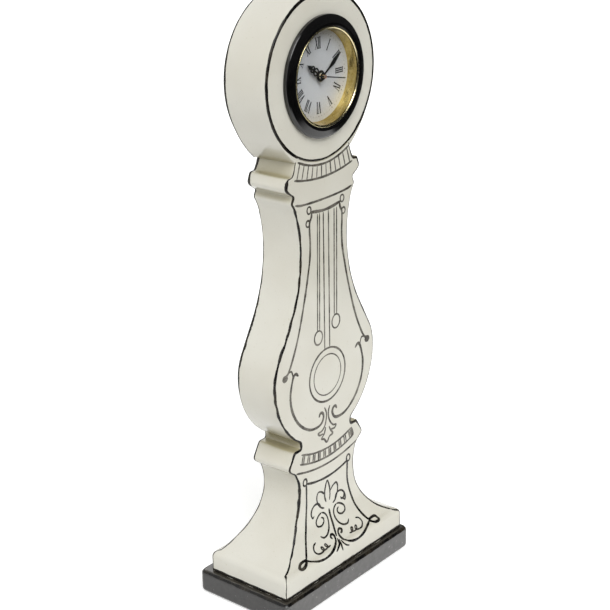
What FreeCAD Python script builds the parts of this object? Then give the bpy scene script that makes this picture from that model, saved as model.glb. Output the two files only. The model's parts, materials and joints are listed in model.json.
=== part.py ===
import FreeCAD, Part
import math
import os
import Sketcher

from FreeCAD import Placement, Rotation, Vector

# A ceramic table clock with a battery clock insert. Millimetres, +Z up, front towards -Y.
# The origin is on the standing surface, under the middle of the plinth.

doc = FreeCAD.newDocument("table_clock")
sheet = doc.addObject("Spreadsheet::Sheet", "sizes")

SIZES = {
    # plinth and pads
    "plinth_width": 104.6, "plinth_depth": 59.6, "plinth_height": 12.5, "plinth_corner": 3.0,
    "plinth_arris": 2.2, "plinth_rim_height": 3.0, "plinth_rim_wall": 3.0, "plinth_rim_play": 0.3,
    "pad_proud": 0.5, "pad_radius": 5.0, "pad_recess": 0.8, "pad_inset": 11.0,
    # case: widths and depths of the foot
    "foot_half_width": 48.9, "foot_half_depth": 25.3, "foot_lip": 9.0, "foot_round": 3.0, "foot_height": 57.3,
    "foot_neck_half": 22.6, "foot_neck_rise": 47.0, "foot_front_rise": 38.0, "foot_back_rise": 47.0,
    # case: lower and upper mouldings
    "lower_under": 25.0, "lower_lip": 30.2, "lower_top": 25.6, "lower_height": 13.3, "lower_lip_rise": 5.7,
    "upper_under": 22.9, "upper_lip": 28.5, "upper_top": 26.8, "upper_height": 9.8, "upper_lip_rise": 5.4,
    "nose_drop": 2.4, "nose_back": 1.0, "nose_radius": 2.0,
    # case: bulb, waist, shoulder, collar and head
    "notch_half": 20.6, "notch_rise": 3.4, "bulb_half": 40.1, "bulb_radius": 42.2, "brow_radius": 27.0,
    "brow_rise": 13.2, "slope_half": 28.1, "slope_rise": 28.4, "waist_half": 18.4, "waist_rise": 65.6,
    "shoulder_half": 24.6, "shoulder_rise": 25.4, "shoulder_foot_half": 20.5, "shoulder_foot_drop": 9.6,
    "shoulder_radius": 24.0, "shoulder_gap": 3.3, "collar_foot": 23.6, "collar_top": 20.2, "collar_rise": 8.8,
    "collar_radius": 24.0, "head_radius": 40.75, "case_depth": 26.5, "back_step": 2.0, "case_forward": 1.55,
    "wall": 4.5,
    "bore_radius": 25.6, "access_radius": 23.0,
    # insert: bezel, window and dial
    "bezel_radius": 29.3, "bezel_gap": 0.1, "bezel_edge": 2.0, "bezel_shoulder": 0.8, "bezel_round": 0.9,
    "bezel_crest": 4.1, "crest_radius": 24.4, "liner_thick": 0.6, "liner_height": 0.5,
    "window_radius": 22.8, "lens_radius": 24.2, "lens_seat": 2.05, "lens_edge": 1.2, "lens_dome": 0.5,
    "dial_drop": 3.2, "dial_thick": 0.5, "dial_view": 21.8, "dial_hole": 1.7,
    # insert: cup and grip ring
    "cup_radius": 24.5, "cup_wall": 1.1, "cup_rim": 1.2, "cup_ledge": 1.5, "cup_rear_wall": 1.2,
    "cup_bevel": 0.6, "cup_play": 0.1, "grip_start": 0.4, "grip_pitch": 1.2, "grip_valley": 0.4,
    "grip_fit": 0.05, "grip_ridges": 3,
    # movement: spaces from the dial to the back
    "motion_space": 3.3, "front_plate_thick": 1.2, "train_space": 5.8, "back_plate_thick": 1.0,
    "rear_gap": 1.6, "plate_rim": 1.7, "pillar_radius": 1.6, "pillar_inset": 3.6,
    "pillar_turn_right": 27.0, "pillar_turn_left": 199.0, "pillar_turn_low": 318.0,
    "screw_radius": 0.5, "screw_depth": 4.0, "screw_head": 1.3, "screw_head_thick": 0.8,
    # movement: teeth, arbors and fits
    "train_module": 0.2, "second_module": 0.26, "motion_module": 0.4, "leaf_count": 10,
    "centre_teeth": 80, "third_teeth": 75, "second_teeth": 60, "intermediate_teeth": 50,
    "cannon_leaves": 12, "minute_teeth": 36, "minute_leaves": 12, "hour_teeth": 48, "wheel_thick": 0.7,
    "leaf_overhang": 0.15, "layer_gap": 0.3, "arbor_radius": 0.5, "pivot_radius": 0.3, "pivot_depth": 0.9,
    "running_fit": 0.05, "second_arbor": 0.4, "minute_pipe": 0.85, "hour_pipe": 1.4, "setting_arbor": 0.6,
    # movement: motor, board and battery
    "rotor_turn": 125.0, "magnet_radius": 2.2, "magnet_height": 2.6, "rotor_air": 0.4, "stator_thick": 0.6,
    "core_thick": 0.8, "core_half_width": 1.2, "coil_rise": 14.3, "coil_left": -11.0, "coil_right": 1.0,
    "coil_radius": 1.9, "core_overlap": 2.8, "board_thick": 0.8, "board_left": -15.0, "board_right": -7.5,
    "board_low": -14.0, "board_high": -5.5, "crystal_radius": 1.0, "crystal_length": 5.0, "chip_size": 3.0,
    "chip_thick": 0.9, "cell_radius": 5.8, "cell_height": 5.4, "cell_drop": 14.6, "cell_play": 0.2,
    "contact_thick": 0.2, "contact_width": 2.0,
    # back of the insert: hatch and knob
    "hatch_thick": 1.0, "hatch_half_width": 7.25, "hatch_margin": 0.6, "hatch_play": 0.15, "rib_height": 0.5,
    "rail_wall": 1.0, "rail_lip": 0.7, "rail_catch": 0.9, "rail_rise": 1.0, "knob_radius": 4.5,
    "knob_height": 4.0, "knob_gap": 0.5, "knob_flutes": 24, "knob_flute_depth": 0.35,
    # hands and the time that they show
    "hand_thick": 0.3, "hour_lift": 1.3, "minute_lift": 2.6, "second_lift": 3.8, "hour_length": 11.5,
    "minute_length": 16.5, "second_length": 15.7, "second_tail": 5.0, "hand_boss": 0.6, "hour_boss": 1.3,
    "cap_height": 0.4, "shown_hour": 10, "shown_minute": 9, "shown_second": 17,
}


class Cell:
    """A size of the sheet, or a formula of sizes: its number and the expression that gives it."""

    def __init__(self, number, text):
        self.number = float(number)
        self.text = text

    def __float__(self):
        return self.number

    def __add__(self, other):
        return joined(self, "+", other)

    def __radd__(self, other):
        return joined(other, "+", self)

    def __sub__(self, other):
        return joined(self, "-", other)

    def __rsub__(self, other):
        return joined(other, "-", self)

    def __mul__(self, other):
        return joined(self, "*", other)

    def __rmul__(self, other):
        return joined(other, "*", self)

    def __truediv__(self, other):
        return joined(self, "/", other)

    def __neg__(self):
        return joined(0, "-", self)


def as_cell(value):
    return value if isinstance(value, Cell) else Cell(value, repr(float(value)))


def joined(left, sign, right):
    left, right = as_cell(left), as_cell(right)
    results = {
        "+": lambda a, b: a + b,
        "-": lambda a, b: a - b,
        "*": lambda a, b: a * b,
        "/": lambda a, b: a / b,
    }
    number = results[sign](left.number, right.number)
    return Cell(number, "(%s %s %s)" % (left.text, sign, right.text))


def root(cell):
    return Cell(math.sqrt(cell.number), "sqrt(%s)" % cell.text)


class Sizes:
    """The sheet's sizes by name, read back from its cells."""

    def __init__(self, values):
        for row, (name, number) in enumerate(values.items(), start=1):
            sheet.set("A%d" % row, name)
            sheet.set("B%d" % row, str(number))
            sheet.setAlias("B%d" % row, name)
        doc.recompute()
        for name in values:
            setattr(self, name, Cell(sheet.get(name), "sizes.%s" % name))


v = Sizes(SIZES)
kept = []


def bind(item, prop, cell):
    item.setExpression(prop, as_cell(cell).text)


def keep(item, label):
    item.Label = label
    kept.append(item)
    return item


# Sketches: each corner of an outline is tied to the sheet

def arc_centre(start, end, radius):
    chord = end - start
    side = Vector(-chord.y, chord.x, 0).normalize()
    away = math.sqrt(max(radius * radius - chord.Length * chord.Length / 4, 0))
    return (start + end) / 2 + side * math.copysign(away, radius)


def point_rules(geo, pos, x, y):
    """Rules that hold a point of a sketch at x and y, each with the size that drives it."""
    rules = []
    for kind, axis, cell in (("DistanceX", -2, as_cell(x)), ("DistanceY", -1, as_cell(y))):
        if cell.text == "0.0":
            rules.append((Sketcher.Constraint("PointOnObject", geo, pos, axis), None))
        else:
            rules.append((Sketcher.Constraint(kind, -1, 1, geo, pos, cell.number), cell))
    return rules


def radius_rule(geo, radius):
    return (Sketcher.Constraint("Radius", geo, float(radius)), as_cell(radius))


def draw_outline(sketch, corners):
    """Draws a closed outline. A corner is (x, y), or (x, y, r) where an arc of radius r leads to the
    next corner: a positive r turns left, a negative one right."""
    points = [Vector(float(c[0]), float(c[1]), 0) for c in corners]
    ends = []
    for i, corner in enumerate(corners):
        start, end = points[i], points[(i + 1) % len(points)]
        if len(corner) == 2:
            geo = sketch.addGeometry(Part.LineSegment(start, end))
            ends.append((geo, 1, 2))
            continue
        radius = float(corner[2])
        middle = arc_centre(start, end, radius)
        first, last = (start, end) if radius > 0 else (end, start)
        turn = [math.atan2(p.y - middle.y, p.x - middle.x) for p in (first, last)]
        circle = Part.Circle(middle, Vector(0, 0, 1), abs(radius))
        geo = sketch.addGeometry(Part.ArcOfCircle(circle, turn[0], turn[1]))
        ends.append((geo, 1, 2) if radius > 0 else (geo, 2, 1))
    rules = []
    for i, corner in enumerate(corners):
        geo, start_pos, _ = ends[i]
        before, _, end_pos = ends[i - 1]
        rules.append((Sketcher.Constraint("Coincident", before, end_pos, geo, start_pos), None))
        rules += point_rules(geo, start_pos, corner[0], corner[1])
        if len(corner) == 3:
            rules.append(radius_rule(geo, corner[2] if float(corner[2]) > 0 else -corner[2]))
    return rules


def draw_circle(sketch, x, y, radius):
    circle = Part.Circle(Vector(float(x), float(y), 0), Vector(0, 0, 1), float(radius))
    geo = sketch.addGeometry(circle)
    return point_rules(geo, 3, x, y) + [radius_rule(geo, radius)]


def draw(sketch, loops):
    """A loop is a list of corners, or (x, y, radius) for a circle."""
    rules = []
    for loop in loops:
        rules += draw_outline(sketch, loop) if isinstance(loop, list) else draw_circle(sketch, *loop)
    rows = sketch.addConstraint([rule for rule, _ in rules])
    for row, (_, cell) in zip(rows, rules):
        if cell is not None:
            bind(sketch, "Constraints[%d]" % row, cell)


def rectangle(left, low, right, high):
    return [(left, low), (right, low), (right, high), (left, high)]


# Building steps for a body

def new_body(label, placement):
    body = doc.addObject("PartDesign::Body", label)
    body.Placement = placement
    return keep(body, label)


def new_sketch(body, plane, lift=None):
    sketch = body.newObject("Sketcher::SketchObject", body.Name + "_sketch")
    support = [f for f in body.Origin.OriginFeatures if f.Role == plane][0]
    sketch.AttachmentSupport = [(support, "")]
    sketch.MapMode = "FlatFace"
    if lift is not None:
        bind(sketch, "AttachmentOffset.Base.z", lift)
    return sketch


def pad(body, loops, low, height):
    sketch = new_sketch(body, "XY_Plane", low)
    draw(sketch, loops)
    step = body.newObject("PartDesign::Pad", body.Name + "_pad")
    step.Profile = sketch
    bind(step, "Length", height)
    return step


def pocket(body, loops, low, depth):
    """Cuts from the level low upwards, away from the sketch's back."""
    sketch = new_sketch(body, "XY_Plane", low)
    draw(sketch, loops)
    step = body.newObject("PartDesign::Pocket", body.Name + "_pocket")
    step.Profile = sketch
    step.Reversed = True
    bind(step, "Length", depth)
    return step


def turn(body, outline):
    """Revolves an outline of (radius, height) about the body's own Z axis."""
    sketch = new_sketch(body, "XZ_Plane")
    draw(sketch, [outline])
    step = body.newObject("PartDesign::Revolution", body.Name + "_turned")
    step.Profile = sketch
    step.ReferenceAxis = (sketch, ["V_Axis"])
    step.Angle = 360
    return step


def extrusion(name, outline, rotation, length):
    """A symmetrical slab from an outline that is drawn upright."""
    sketch = doc.addObject("Sketcher::SketchObject", name + "_sketch")
    sketch.Placement = Placement(case_middle, rotation)
    draw(sketch, [outline])
    slab = doc.addObject("Part::Extrusion", name)
    slab.Base = sketch
    slab.DirMode = "Normal"
    slab.Solid = True
    slab.Symmetric = True
    bind(slab, "LengthFwd", length)
    return slab


def cylinder(name, radius, low, height, placement):
    rod = doc.addObject("Part::Cylinder", name)
    bind(rod, "Radius", radius)
    bind(rod, "Height", height)
    rod.Placement = placement.multiply(Placement(Vector(0, 0, float(low)), Rotation()))
    return rod


def boolean(kind, name, base, tool):
    item = doc.addObject("Part::" + kind, name)
    item.Base = base
    item.Tool = tool
    return item


# Case levels, stacked from the standing surface up

foot = v.pad_proud + v.plinth_height
lip_top = foot + v.foot_lip
flare_foot = lip_top + v.foot_round
neck_level = foot + v.foot_neck_rise
front_level = foot + v.foot_front_rise
back_level = foot + v.foot_back_rise
lower_level = foot + v.foot_height
notch_level = lower_level + v.lower_height + v.notch_rise
bulb_middle = v.bulb_half - v.bulb_radius
bulb_level = notch_level + root(v.bulb_radius * v.bulb_radius
                                - (v.notch_half - bulb_middle) * (v.notch_half - bulb_middle))
brow_level = bulb_level + v.brow_rise
slope_level = bulb_level + v.slope_rise
waist_level = bulb_level + v.waist_rise
shoulder_level = waist_level + v.shoulder_rise
upper_level = shoulder_level + v.shoulder_gap
collar_level = upper_level + v.upper_height
head_join = collar_level + v.collar_rise
head_level = head_join + root(v.head_radius * v.head_radius - v.collar_top * v.collar_top)
half_depth = v.case_depth / 2


def sweep_radius(across, along):
    """Radius of the arc that starts along the case and has moved across by its end."""
    return (across * across + along * along) / (2 * across)


def mirrored(right_side):
    """Closes the right half of an outline, given from its foot up, with its mirror image."""
    left_side = []
    for i, corner in enumerate(reversed(right_side)):
        below = len(right_side) - 2 - i
        curved = below >= 0 and len(right_side[below]) == 3
        left_side.append((-corner[0], corner[1]) + ((right_side[below][2],) if curved else ()))
    return right_side + left_side


def two_faced(back, front):
    """Closes an outline of a back face and a mirrored front face, each given from its foot up."""
    return back + mirrored(front)[len(front):]


def moulding(under, lip, top, level, height, lip_rise):
    """Outline of a moulding: an undercut, a rounded nose and a sloping face."""
    return [
        (under, level),
        (lip - v.nose_back, level + lip_rise - v.nose_drop, v.nose_radius),
        (lip, level + lip_rise),
        (top, level + height),
    ]


def case_front():
    brow_half = v.bulb_half - v.brow_radius + root(v.brow_radius * v.brow_radius - v.brow_rise * v.brow_rise)
    flare_half = v.foot_half_width - v.foot_round
    rows = [
        (v.foot_half_width, foot),
        (v.foot_half_width, lip_top, v.foot_round),
        (flare_half, flare_foot, -sweep_radius(flare_half - v.foot_neck_half, neck_level - flare_foot)),
        (v.foot_neck_half, neck_level, -sweep_radius(v.lower_under - v.foot_neck_half,
                                                     lower_level - neck_level)),
    ]
    rows += moulding(v.lower_under, v.lower_lip, v.lower_top, lower_level, v.lower_height, v.lower_lip_rise)
    rows += [
        (v.notch_half, lower_level + v.lower_height),
        (v.notch_half, notch_level, v.bulb_radius),
        (v.bulb_half, bulb_level, v.brow_radius),
        (brow_half, brow_level),
        (v.slope_half, slope_level, -sweep_radius(v.slope_half - v.waist_half, waist_level - slope_level)),
        (v.waist_half, waist_level, -sweep_radius(v.shoulder_foot_half - v.waist_half,
                                                  v.shoulder_rise - v.shoulder_foot_drop)),
        (v.shoulder_foot_half, shoulder_level - v.shoulder_foot_drop, -v.shoulder_radius),
        (v.shoulder_half, shoulder_level),
    ]
    rows += moulding(v.upper_under, v.upper_lip, v.upper_top, upper_level, v.upper_height, v.upper_lip_rise)
    rows += [
        (v.collar_foot, collar_level, -v.collar_radius),
        (v.collar_top, head_join, v.head_radius),
        (v.head_radius, head_level, v.head_radius),
        (0, head_level + v.head_radius),
    ]
    right = rows[:-1]
    left = mirrored(right)[len(right):]
    return right + [rows[-1] + (v.head_radius,)] + left


def case_side():
    flare_half = v.foot_half_depth - v.foot_round

    def face(half, level):
        return [
            (v.foot_half_depth, foot),
            (v.foot_half_depth, lip_top, v.foot_round),
            (flare_half, flare_foot, -sweep_radius(flare_half - half, level - flare_foot)),
            (half, level),
            (half, head_level + 2 * v.head_radius),
        ]

    return two_faced(face(half_depth - v.back_step, back_level), face(half_depth, front_level))


def core_front():
    ball = v.bulb_radius - v.wall
    brow = v.brow_radius - v.wall
    drum = v.head_radius - v.wall
    foot_half = v.foot_half_width - v.wall
    neck_half = v.foot_neck_half - v.wall
    notch_half = v.notch_half - v.wall
    waist_half = v.waist_half - v.wall
    slope_half = v.slope_half - v.wall
    rise = v.brow_rise * brow / v.brow_radius
    brow_half = v.bulb_half - v.brow_radius + root(brow * brow - rise * rise)
    lip_level = flare_foot - v.wall
    ball_foot = bulb_level - root(ball * ball - (notch_half - bulb_middle) * (notch_half - bulb_middle))
    drum_foot = head_level - root(drum * drum - waist_half * waist_half)
    right = [
        (foot_half, foot - v.wall),
        (foot_half, lip_level, -sweep_radius(foot_half - neck_half, neck_level - lip_level)),
        (neck_half, neck_level),
        (notch_half, ball_foot, ball),
        (v.bulb_half - v.wall, bulb_level, brow),
        (brow_half, bulb_level + rise),
        (slope_half, slope_level, -sweep_radius(slope_half - waist_half, waist_level - slope_level)),
        (waist_half, waist_level),
        (waist_half, drum_foot, drum),
        (drum, head_level, drum),
    ]
    left = mirrored(right)[len(right):]
    return right + [(0, head_level + drum, drum)] + left


def core_side():
    foot_half = v.foot_half_depth - v.wall
    lip_level = flare_foot - v.wall

    def face(half, level):
        return [
            (foot_half, foot - v.wall),
            (foot_half, lip_level, -sweep_radius(foot_half - half, level - lip_level)),
            (half, level),
            (half, head_level + v.head_radius),
        ]

    back_half = half_depth - v.back_step
    return two_faced(face(back_half - v.wall, back_level), face(half_depth - v.wall, front_level))


facing = Rotation(Vector(1, 0, 0), 90)
sideways = Rotation(Vector(1, 1, 1), 120)
case_middle = Vector(0, -float(v.case_forward), 0)
clock_frame = Placement(case_middle + Vector(0, -float(half_depth), float(head_level)), facing)


def make_case():
    body = boolean(
        "Common", "case_block",
        extrusion("case_front", case_front(), facing, 2 * v.foot_half_depth + v.wall),
        extrusion("case_side", case_side(), sideways, 2 * v.foot_half_width + v.wall))
    drum = cylinder("head_drum", v.head_radius, -v.case_depth, v.case_depth, clock_frame)
    hollow = boolean(
        "Common", "core_block",
        extrusion("core_front", core_front(), facing, 2 * v.foot_half_depth),
        extrusion("core_side", core_side(), sideways, 2 * v.foot_half_width))
    hollow_drum = cylinder("core_drum", v.head_radius - v.wall, v.wall - v.case_depth,
                           v.case_depth - 2 * v.wall, clock_frame)
    shell = boolean("Cut", "case_shell", boolean("Fuse", "case_outside", body, drum),
                    boolean("Fuse", "case_core", hollow, hollow_drum))
    middle = -half_depth
    front_hole = cylinder("front_hole", v.bore_radius, middle, v.case_depth, clock_frame)
    fronted = boolean("Cut", "case_fronted", shell, front_hole)
    rear_hole = cylinder("rear_hole", v.access_radius, -v.case_depth - v.wall,
                         half_depth + v.wall, clock_frame)
    return keep(boolean("Cut", "case_body", fronted, rear_hole), "case_body")


def make_plinth():
    low = v.pad_proud
    half_w, half_d = v.plinth_width / 2, v.plinth_depth / 2
    c = v.plinth_corner
    body = new_body("plinth", Placement())
    slab = pad(body, [[
        (-half_w + c, -half_d), (half_w - c, -half_d, c), (half_w, -half_d + c), (half_w, half_d - c, c),
        (half_w - c, half_d), (-half_w + c, half_d, c), (-half_w, half_d - c), (-half_w, -half_d + c, c),
    ]], low, v.plinth_height)
    doc.recompute()
    levels = [float(low), float(low + v.plinth_height)]
    rims = []
    for i, edge in enumerate(slab.Shape.Edges, start=1):
        heights = {round(p.Point.z, 4) for p in edge.Vertexes}
        if len(heights) == 1 and min(abs(h - level) for h in heights for level in levels) < 0.001:
            rims.append("Edge%d" % i)
    arris = body.newObject("PartDesign::Fillet", "plinth_arris")
    arris.Base = (slab, rims)
    bind(arris, "Radius", v.plinth_arris)
    body.Tip = arris
    rim_w = v.foot_half_width - v.wall - v.plinth_rim_play
    rim_d = v.foot_half_depth - v.wall - v.plinth_rim_play
    wall = v.plinth_rim_wall
    y = -v.case_forward
    pad(body, [
        rectangle(-rim_w, y - rim_d, rim_w, y + rim_d),
        rectangle(-rim_w + wall, y - rim_d + wall, rim_w - wall, y + rim_d - wall),
    ], foot, v.plinth_rim_height)
    pocket(body, [(x, y, v.pad_radius) for x, y in pad_places()], low, v.pad_recess)
    return body


def pad_places():
    x, y = v.plinth_width / 2 - v.pad_inset, v.plinth_depth / 2 - v.pad_inset
    return [(x, y), (-x, y), (-x, -y), (x, -y)]


def make_pads():
    discs = []
    for i, (x, y) in enumerate(pad_places()):
        spot = Placement(Vector(float(x), float(y), 0), Rotation())
        discs.append(cylinder("felt_pad_%d" % i, v.pad_radius, 0, v.pad_proud + v.pad_recess, spot))
    group = doc.addObject("Part::Compound", "felt_pads")
    group.Links = discs
    return keep(group, "felt_pads")


# Insert levels, measured outwards from the front of the head

dial_front = -v.dial_drop
dial_back = dial_front - v.dial_thick
plate_front = dial_back - v.motion_space
train_front = plate_front - v.front_plate_thick
train_back = train_front - v.train_space
plate_back = train_back - v.back_plate_thick
wall_front = plate_back - v.rear_gap
cup_back = wall_front - v.cup_rear_wall
cup_inside = v.cup_radius - v.cup_wall
ledge_inside = cup_inside - v.cup_ledge
lens_rim = v.lens_seat + v.lens_edge
liner_outside = v.window_radius + v.liner_thick


def make_bezel():
    edge_half = v.bezel_radius - v.bezel_shoulder
    slope_top = v.crest_radius + v.bezel_shoulder
    turn(new_body("bezel", clock_frame), [
        (v.cup_radius, v.bezel_gap),
        (v.bezel_radius, v.bezel_gap),
        (v.bezel_radius, v.bezel_edge, v.bezel_round),
        (edge_half, v.bezel_edge + v.bezel_shoulder),
        (slope_top, v.bezel_crest - v.bezel_gap, v.bezel_round * 2),
        (v.crest_radius, v.bezel_crest),
        (liner_outside, lens_rim + v.liner_height),
        (liner_outside, lens_rim),
        (v.lens_radius, lens_rim),
        (v.lens_radius, v.cup_rim),
        (v.cup_radius, v.cup_rim),
    ])
    turn(new_body("bezel_liner", clock_frame), [
        (v.window_radius, lens_rim),
        (liner_outside, lens_rim),
        (liner_outside, lens_rim + v.liner_height),
        (v.window_radius + v.liner_thick / 2, lens_rim + v.liner_height),
    ])


def make_lens():
    dome_half = v.window_radius - v.liner_thick / 2
    dome = (dome_half * dome_half + v.lens_dome * v.lens_dome) / (2 * v.lens_dome)
    turn(new_body("lens", clock_frame), [
        (0, v.lens_seat),
        (v.lens_radius, v.lens_seat),
        (v.lens_radius, lens_rim),
        (dome_half, lens_rim, dome),
        (0, lens_rim + v.lens_dome),
    ])


def make_dial():
    skirt = cup_inside - v.cup_play
    turn(new_body("reflector_ring", clock_frame), [
        (v.dial_view, dial_front),
        (skirt, dial_front),
        (skirt, v.cup_rim),
        (v.lens_radius, v.cup_rim),
        (v.lens_radius, v.lens_seat),
        (v.window_radius, v.lens_seat),
    ])
    pad(new_body("dial", clock_frame), [(0, 0, skirt), (0, 0, v.dial_hole)], dial_back, v.dial_thick)


def hatch_box():
    opening = v.cell_radius + v.cell_play * 2
    half = v.hatch_half_width
    reach = opening + v.hatch_margin
    return opening, (-half, -v.cell_drop - reach, half, -v.cell_drop + reach)


def make_cup():
    body = new_body("movement_cup", clock_frame)
    turn(body, [
        (0, cup_back),
        (v.cup_radius - v.cup_bevel, cup_back),
        (v.cup_radius, cup_back + v.cup_bevel),
        (v.cup_radius, v.cup_rim),
        (cup_inside, v.cup_rim),
        (cup_inside, train_front),
        (ledge_inside, train_front),
        (ledge_inside, wall_front),
        (0, wall_front),
    ])
    opening, (_, low, half, _) = hatch_box()
    inner = half + v.hatch_play
    outer = inner + v.rail_wall
    web = v.hatch_thick + v.hatch_play * 2
    webs, lips = [], []
    for side in (-1, 1):
        near, far = sorted((side * inner, side * outer), key=float)
        webs.append(rectangle(near, low, far, v.rail_rise))
        near, far = sorted((side * (half - v.rail_catch), side * outer), key=float)
        lips.append(rectangle(near, low, far, v.rail_rise))
    pad(body, webs, cup_back - web, web)
    pad(body, lips, cup_back - web - v.rail_lip, v.rail_lip)
    pocket(body, [
        (0, -v.cell_drop, opening),
        (0, setting_rise, v.setting_arbor + v.running_fit),
    ], cup_back, v.cup_rear_wall)


def make_grip_ring():
    crest = v.bore_radius - v.grip_fit
    outline = [(v.cup_radius, -v.grip_start)]
    count = int(float(v.grip_ridges))
    for k in range(count):
        top = -v.grip_start - k * v.grip_pitch
        outline += [(crest - v.grip_valley, top), (crest, top - v.grip_pitch / 2)]
    end = -v.grip_start - count * v.grip_pitch
    outline += [(crest - v.grip_valley, end), (v.cup_radius, end)]
    turn(new_body("grip_ring", clock_frame), outline)


# Wheel layout, across the movement: x to the right and y up, seen from the front

third_reach = v.train_module * (v.centre_teeth + v.leaf_count) / 2
third_module = 2 * third_reach / (v.third_teeth + v.leaf_count)
intermediate_reach = v.second_module * (v.second_teeth + v.leaf_count) / 2
rotor_reach = v.train_module * (v.intermediate_teeth + v.leaf_count) / 2
setting_rise = v.motion_module * (v.minute_teeth + v.cannon_leaves) / 2
hour_module = 2 * setting_rise / (v.hour_teeth + v.minute_leaves)
rotor_angle = math.radians(float(v.rotor_turn))
centre_at = (as_cell(0), as_cell(0))
third_at = (third_reach, as_cell(0))
intermediate_at = (-intermediate_reach, as_cell(0))
rotor_at = (
    -intermediate_reach + rotor_reach * math.cos(rotor_angle),
    rotor_reach * math.sin(rotor_angle),
)
setting_at = (as_cell(0), setting_rise)
cell_at = (as_cell(0), -v.cell_drop)


def pillar_places():
    reach = ledge_inside - v.pillar_inset + v.pillar_radius
    turns = [math.radians(float(a)) for a in (v.pillar_turn_right, v.pillar_turn_left, v.pillar_turn_low)]
    return [(reach * math.cos(a), reach * math.sin(a)) for a in turns]


def pivot_holes():
    hole = v.pivot_radius + v.running_fit
    return [at + (hole,) for at in (third_at, intermediate_at, rotor_at)]


def post_places():
    reach = v.core_overlap / 2
    return [(v.coil_left - reach, v.coil_rise), (v.coil_right + reach, v.coil_rise)]


def make_plates():
    skirt = cup_inside - v.cup_play
    setting_hole = setting_at + (v.setting_arbor + v.running_fit,)
    front = new_body("front_plate", clock_frame)
    bearing = centre_at + (v.minute_pipe + v.running_fit,)
    pad(front, [(0, 0, skirt), bearing, setting_hole] + pivot_holes(), train_front, v.front_plate_thick)
    pad(front, [(0, 0, skirt), (0, 0, skirt - v.plate_rim)], plate_front, v.motion_space)
    pad(front, [at + (v.pillar_radius,) for at in pillar_places()], train_back, v.train_space)
    post = train_front - core_front_level
    pad(front, [at + (v.core_half_width,) for at in post_places()], core_front_level, post)
    pad(front, [cell_at + (v.cell_radius - v.cell_play * 4,)], cell_seat, train_front - cell_seat)
    pocket(front, [at + (v.screw_radius,) for at in pillar_places()], train_back, v.screw_depth)

    back = new_body("back_plate", clock_frame)
    arbor_hole = centre_at + (v.second_arbor + v.running_fit,)
    cell_hole = cell_at + (v.cell_radius + v.cell_play,)
    screw_holes = [at + (v.screw_radius,) for at in pillar_places()]
    loops = [(0, 0, ledge_inside - v.cup_play), arbor_hole, cell_hole, setting_hole]
    pad(back, loops + pivot_holes() + screw_holes, plate_back, v.back_plate_thick)


def make_screws():
    screws = []
    length = v.back_plate_thick + v.screw_depth
    head_low = plate_back - v.screw_head_thick
    for i, (x, y) in enumerate(pillar_places()):
        spot = clock_frame.multiply(Placement(Vector(float(x), float(y), 0), Rotation()))
        shank = cylinder("screw_shank_%d" % i, v.screw_radius, plate_back, length, spot)
        head = cylinder("screw_head_%d" % i, v.screw_head, head_low, v.screw_head_thick, spot)
        screws.append(boolean("Fuse", "screw_%d" % i, head, shank))
    group = doc.addObject("Part::Compound", "plate_screws")
    group.Links = screws
    return keep(group, "plate_screws")


# Levels of the wheels between the plates, from the front plate back

def layer(front):
    """A wheel's front and back levels, and those of the pinion that runs in it."""
    back = front - v.wheel_thick
    return {"wheel": (back, front), "leaves": (back - v.leaf_overhang, front + v.leaf_overhang)}


centre_layer = layer(train_front - v.layer_gap)
third_layer = layer(centre_layer["leaves"][0] - v.layer_gap * 2)
second_layer = layer(third_layer["leaves"][0] - v.layer_gap * 2)
intermediate_layer = layer(second_layer["leaves"][0] - v.layer_gap)
hour_layer = layer(dial_back - v.layer_gap * 2)
minute_layer = layer(hour_layer["leaves"][0] - v.layer_gap)
cell_seat = wall_front + v.cell_play + v.cell_height + v.contact_thick
core_front_level = third_layer["wheel"][1]
core_back_level = core_front_level - v.core_thick
stator_back = core_back_level - v.stator_thick
minute_hand_level = dial_front + v.minute_lift
hour_hand_level = dial_front + v.hour_lift
second_hand_level = dial_front + v.second_lift


def toothed_outline(teeth, module, angle, tooth_there):
    """Corners of a toothed rim: straight chords of an involute flank, thinned for backlash. A tooth, or
    the space between two, lies at the angle."""
    addendum, dedendum, thinning = 0.85, 1.15, 0.14
    pressure = math.radians(25)
    pitch = module * teeth / 2
    base = pitch * math.cos(pressure)
    low = pitch - dedendum * module

    def involute(radius):
        roll = math.acos(min(base / radius, 1))
        return math.tan(roll) - roll

    half = math.pi / (2 * teeth) - thinning * module / pitch + involute(pitch)
    flank = [(r, half - involute(r)) for r in (low, max(base, low * 1.001), pitch, pitch + addendum * module)]
    step = 2 * math.pi / teeth
    corners = []
    for k in range(teeth):
        middle = angle + step * (k if tooth_there else k + 0.5)
        turned = [(r, middle - a) for r, a in flank] + [(r, middle + a) for r, a in reversed(flank)]
        corners += [Vector(r * math.cos(a), r * math.sin(a), 0) for r, a in turned]
    return corners


def rod(radius, low, high):
    return Part.makeCylinder(float(radius), float(high - low), Vector(0, 0, float(low)))


def teeth(count, module, levels, angle, tooth_there):
    corners = toothed_outline(int(float(count)), float(module), angle, tooth_there)
    low, high = float(levels[0]), float(levels[1])
    face = Part.Face(Part.makePolygon(corners + corners[:1]))
    face.translate(Vector(0, 0, low))
    return face.extrude(Vector(0, 0, high - low))


def wheel(label, at, solids, bore=None):
    """A turning piece, made of rods and toothed rims about one axis, with an optional bore."""
    shape = solids[0].fuse(solids[1:]) if len(solids) > 1 else solids[0]
    if bore is not None:
        shape = shape.cut(bore)
    item = doc.addObject("Part::Feature", label)
    item.Shape = shape.removeSplitter()
    spot = Vector(float(at[0]), float(at[1]), 0)
    item.Placement = clock_frame.multiply(Placement(spot, Rotation()))
    return keep(item, label)


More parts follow.
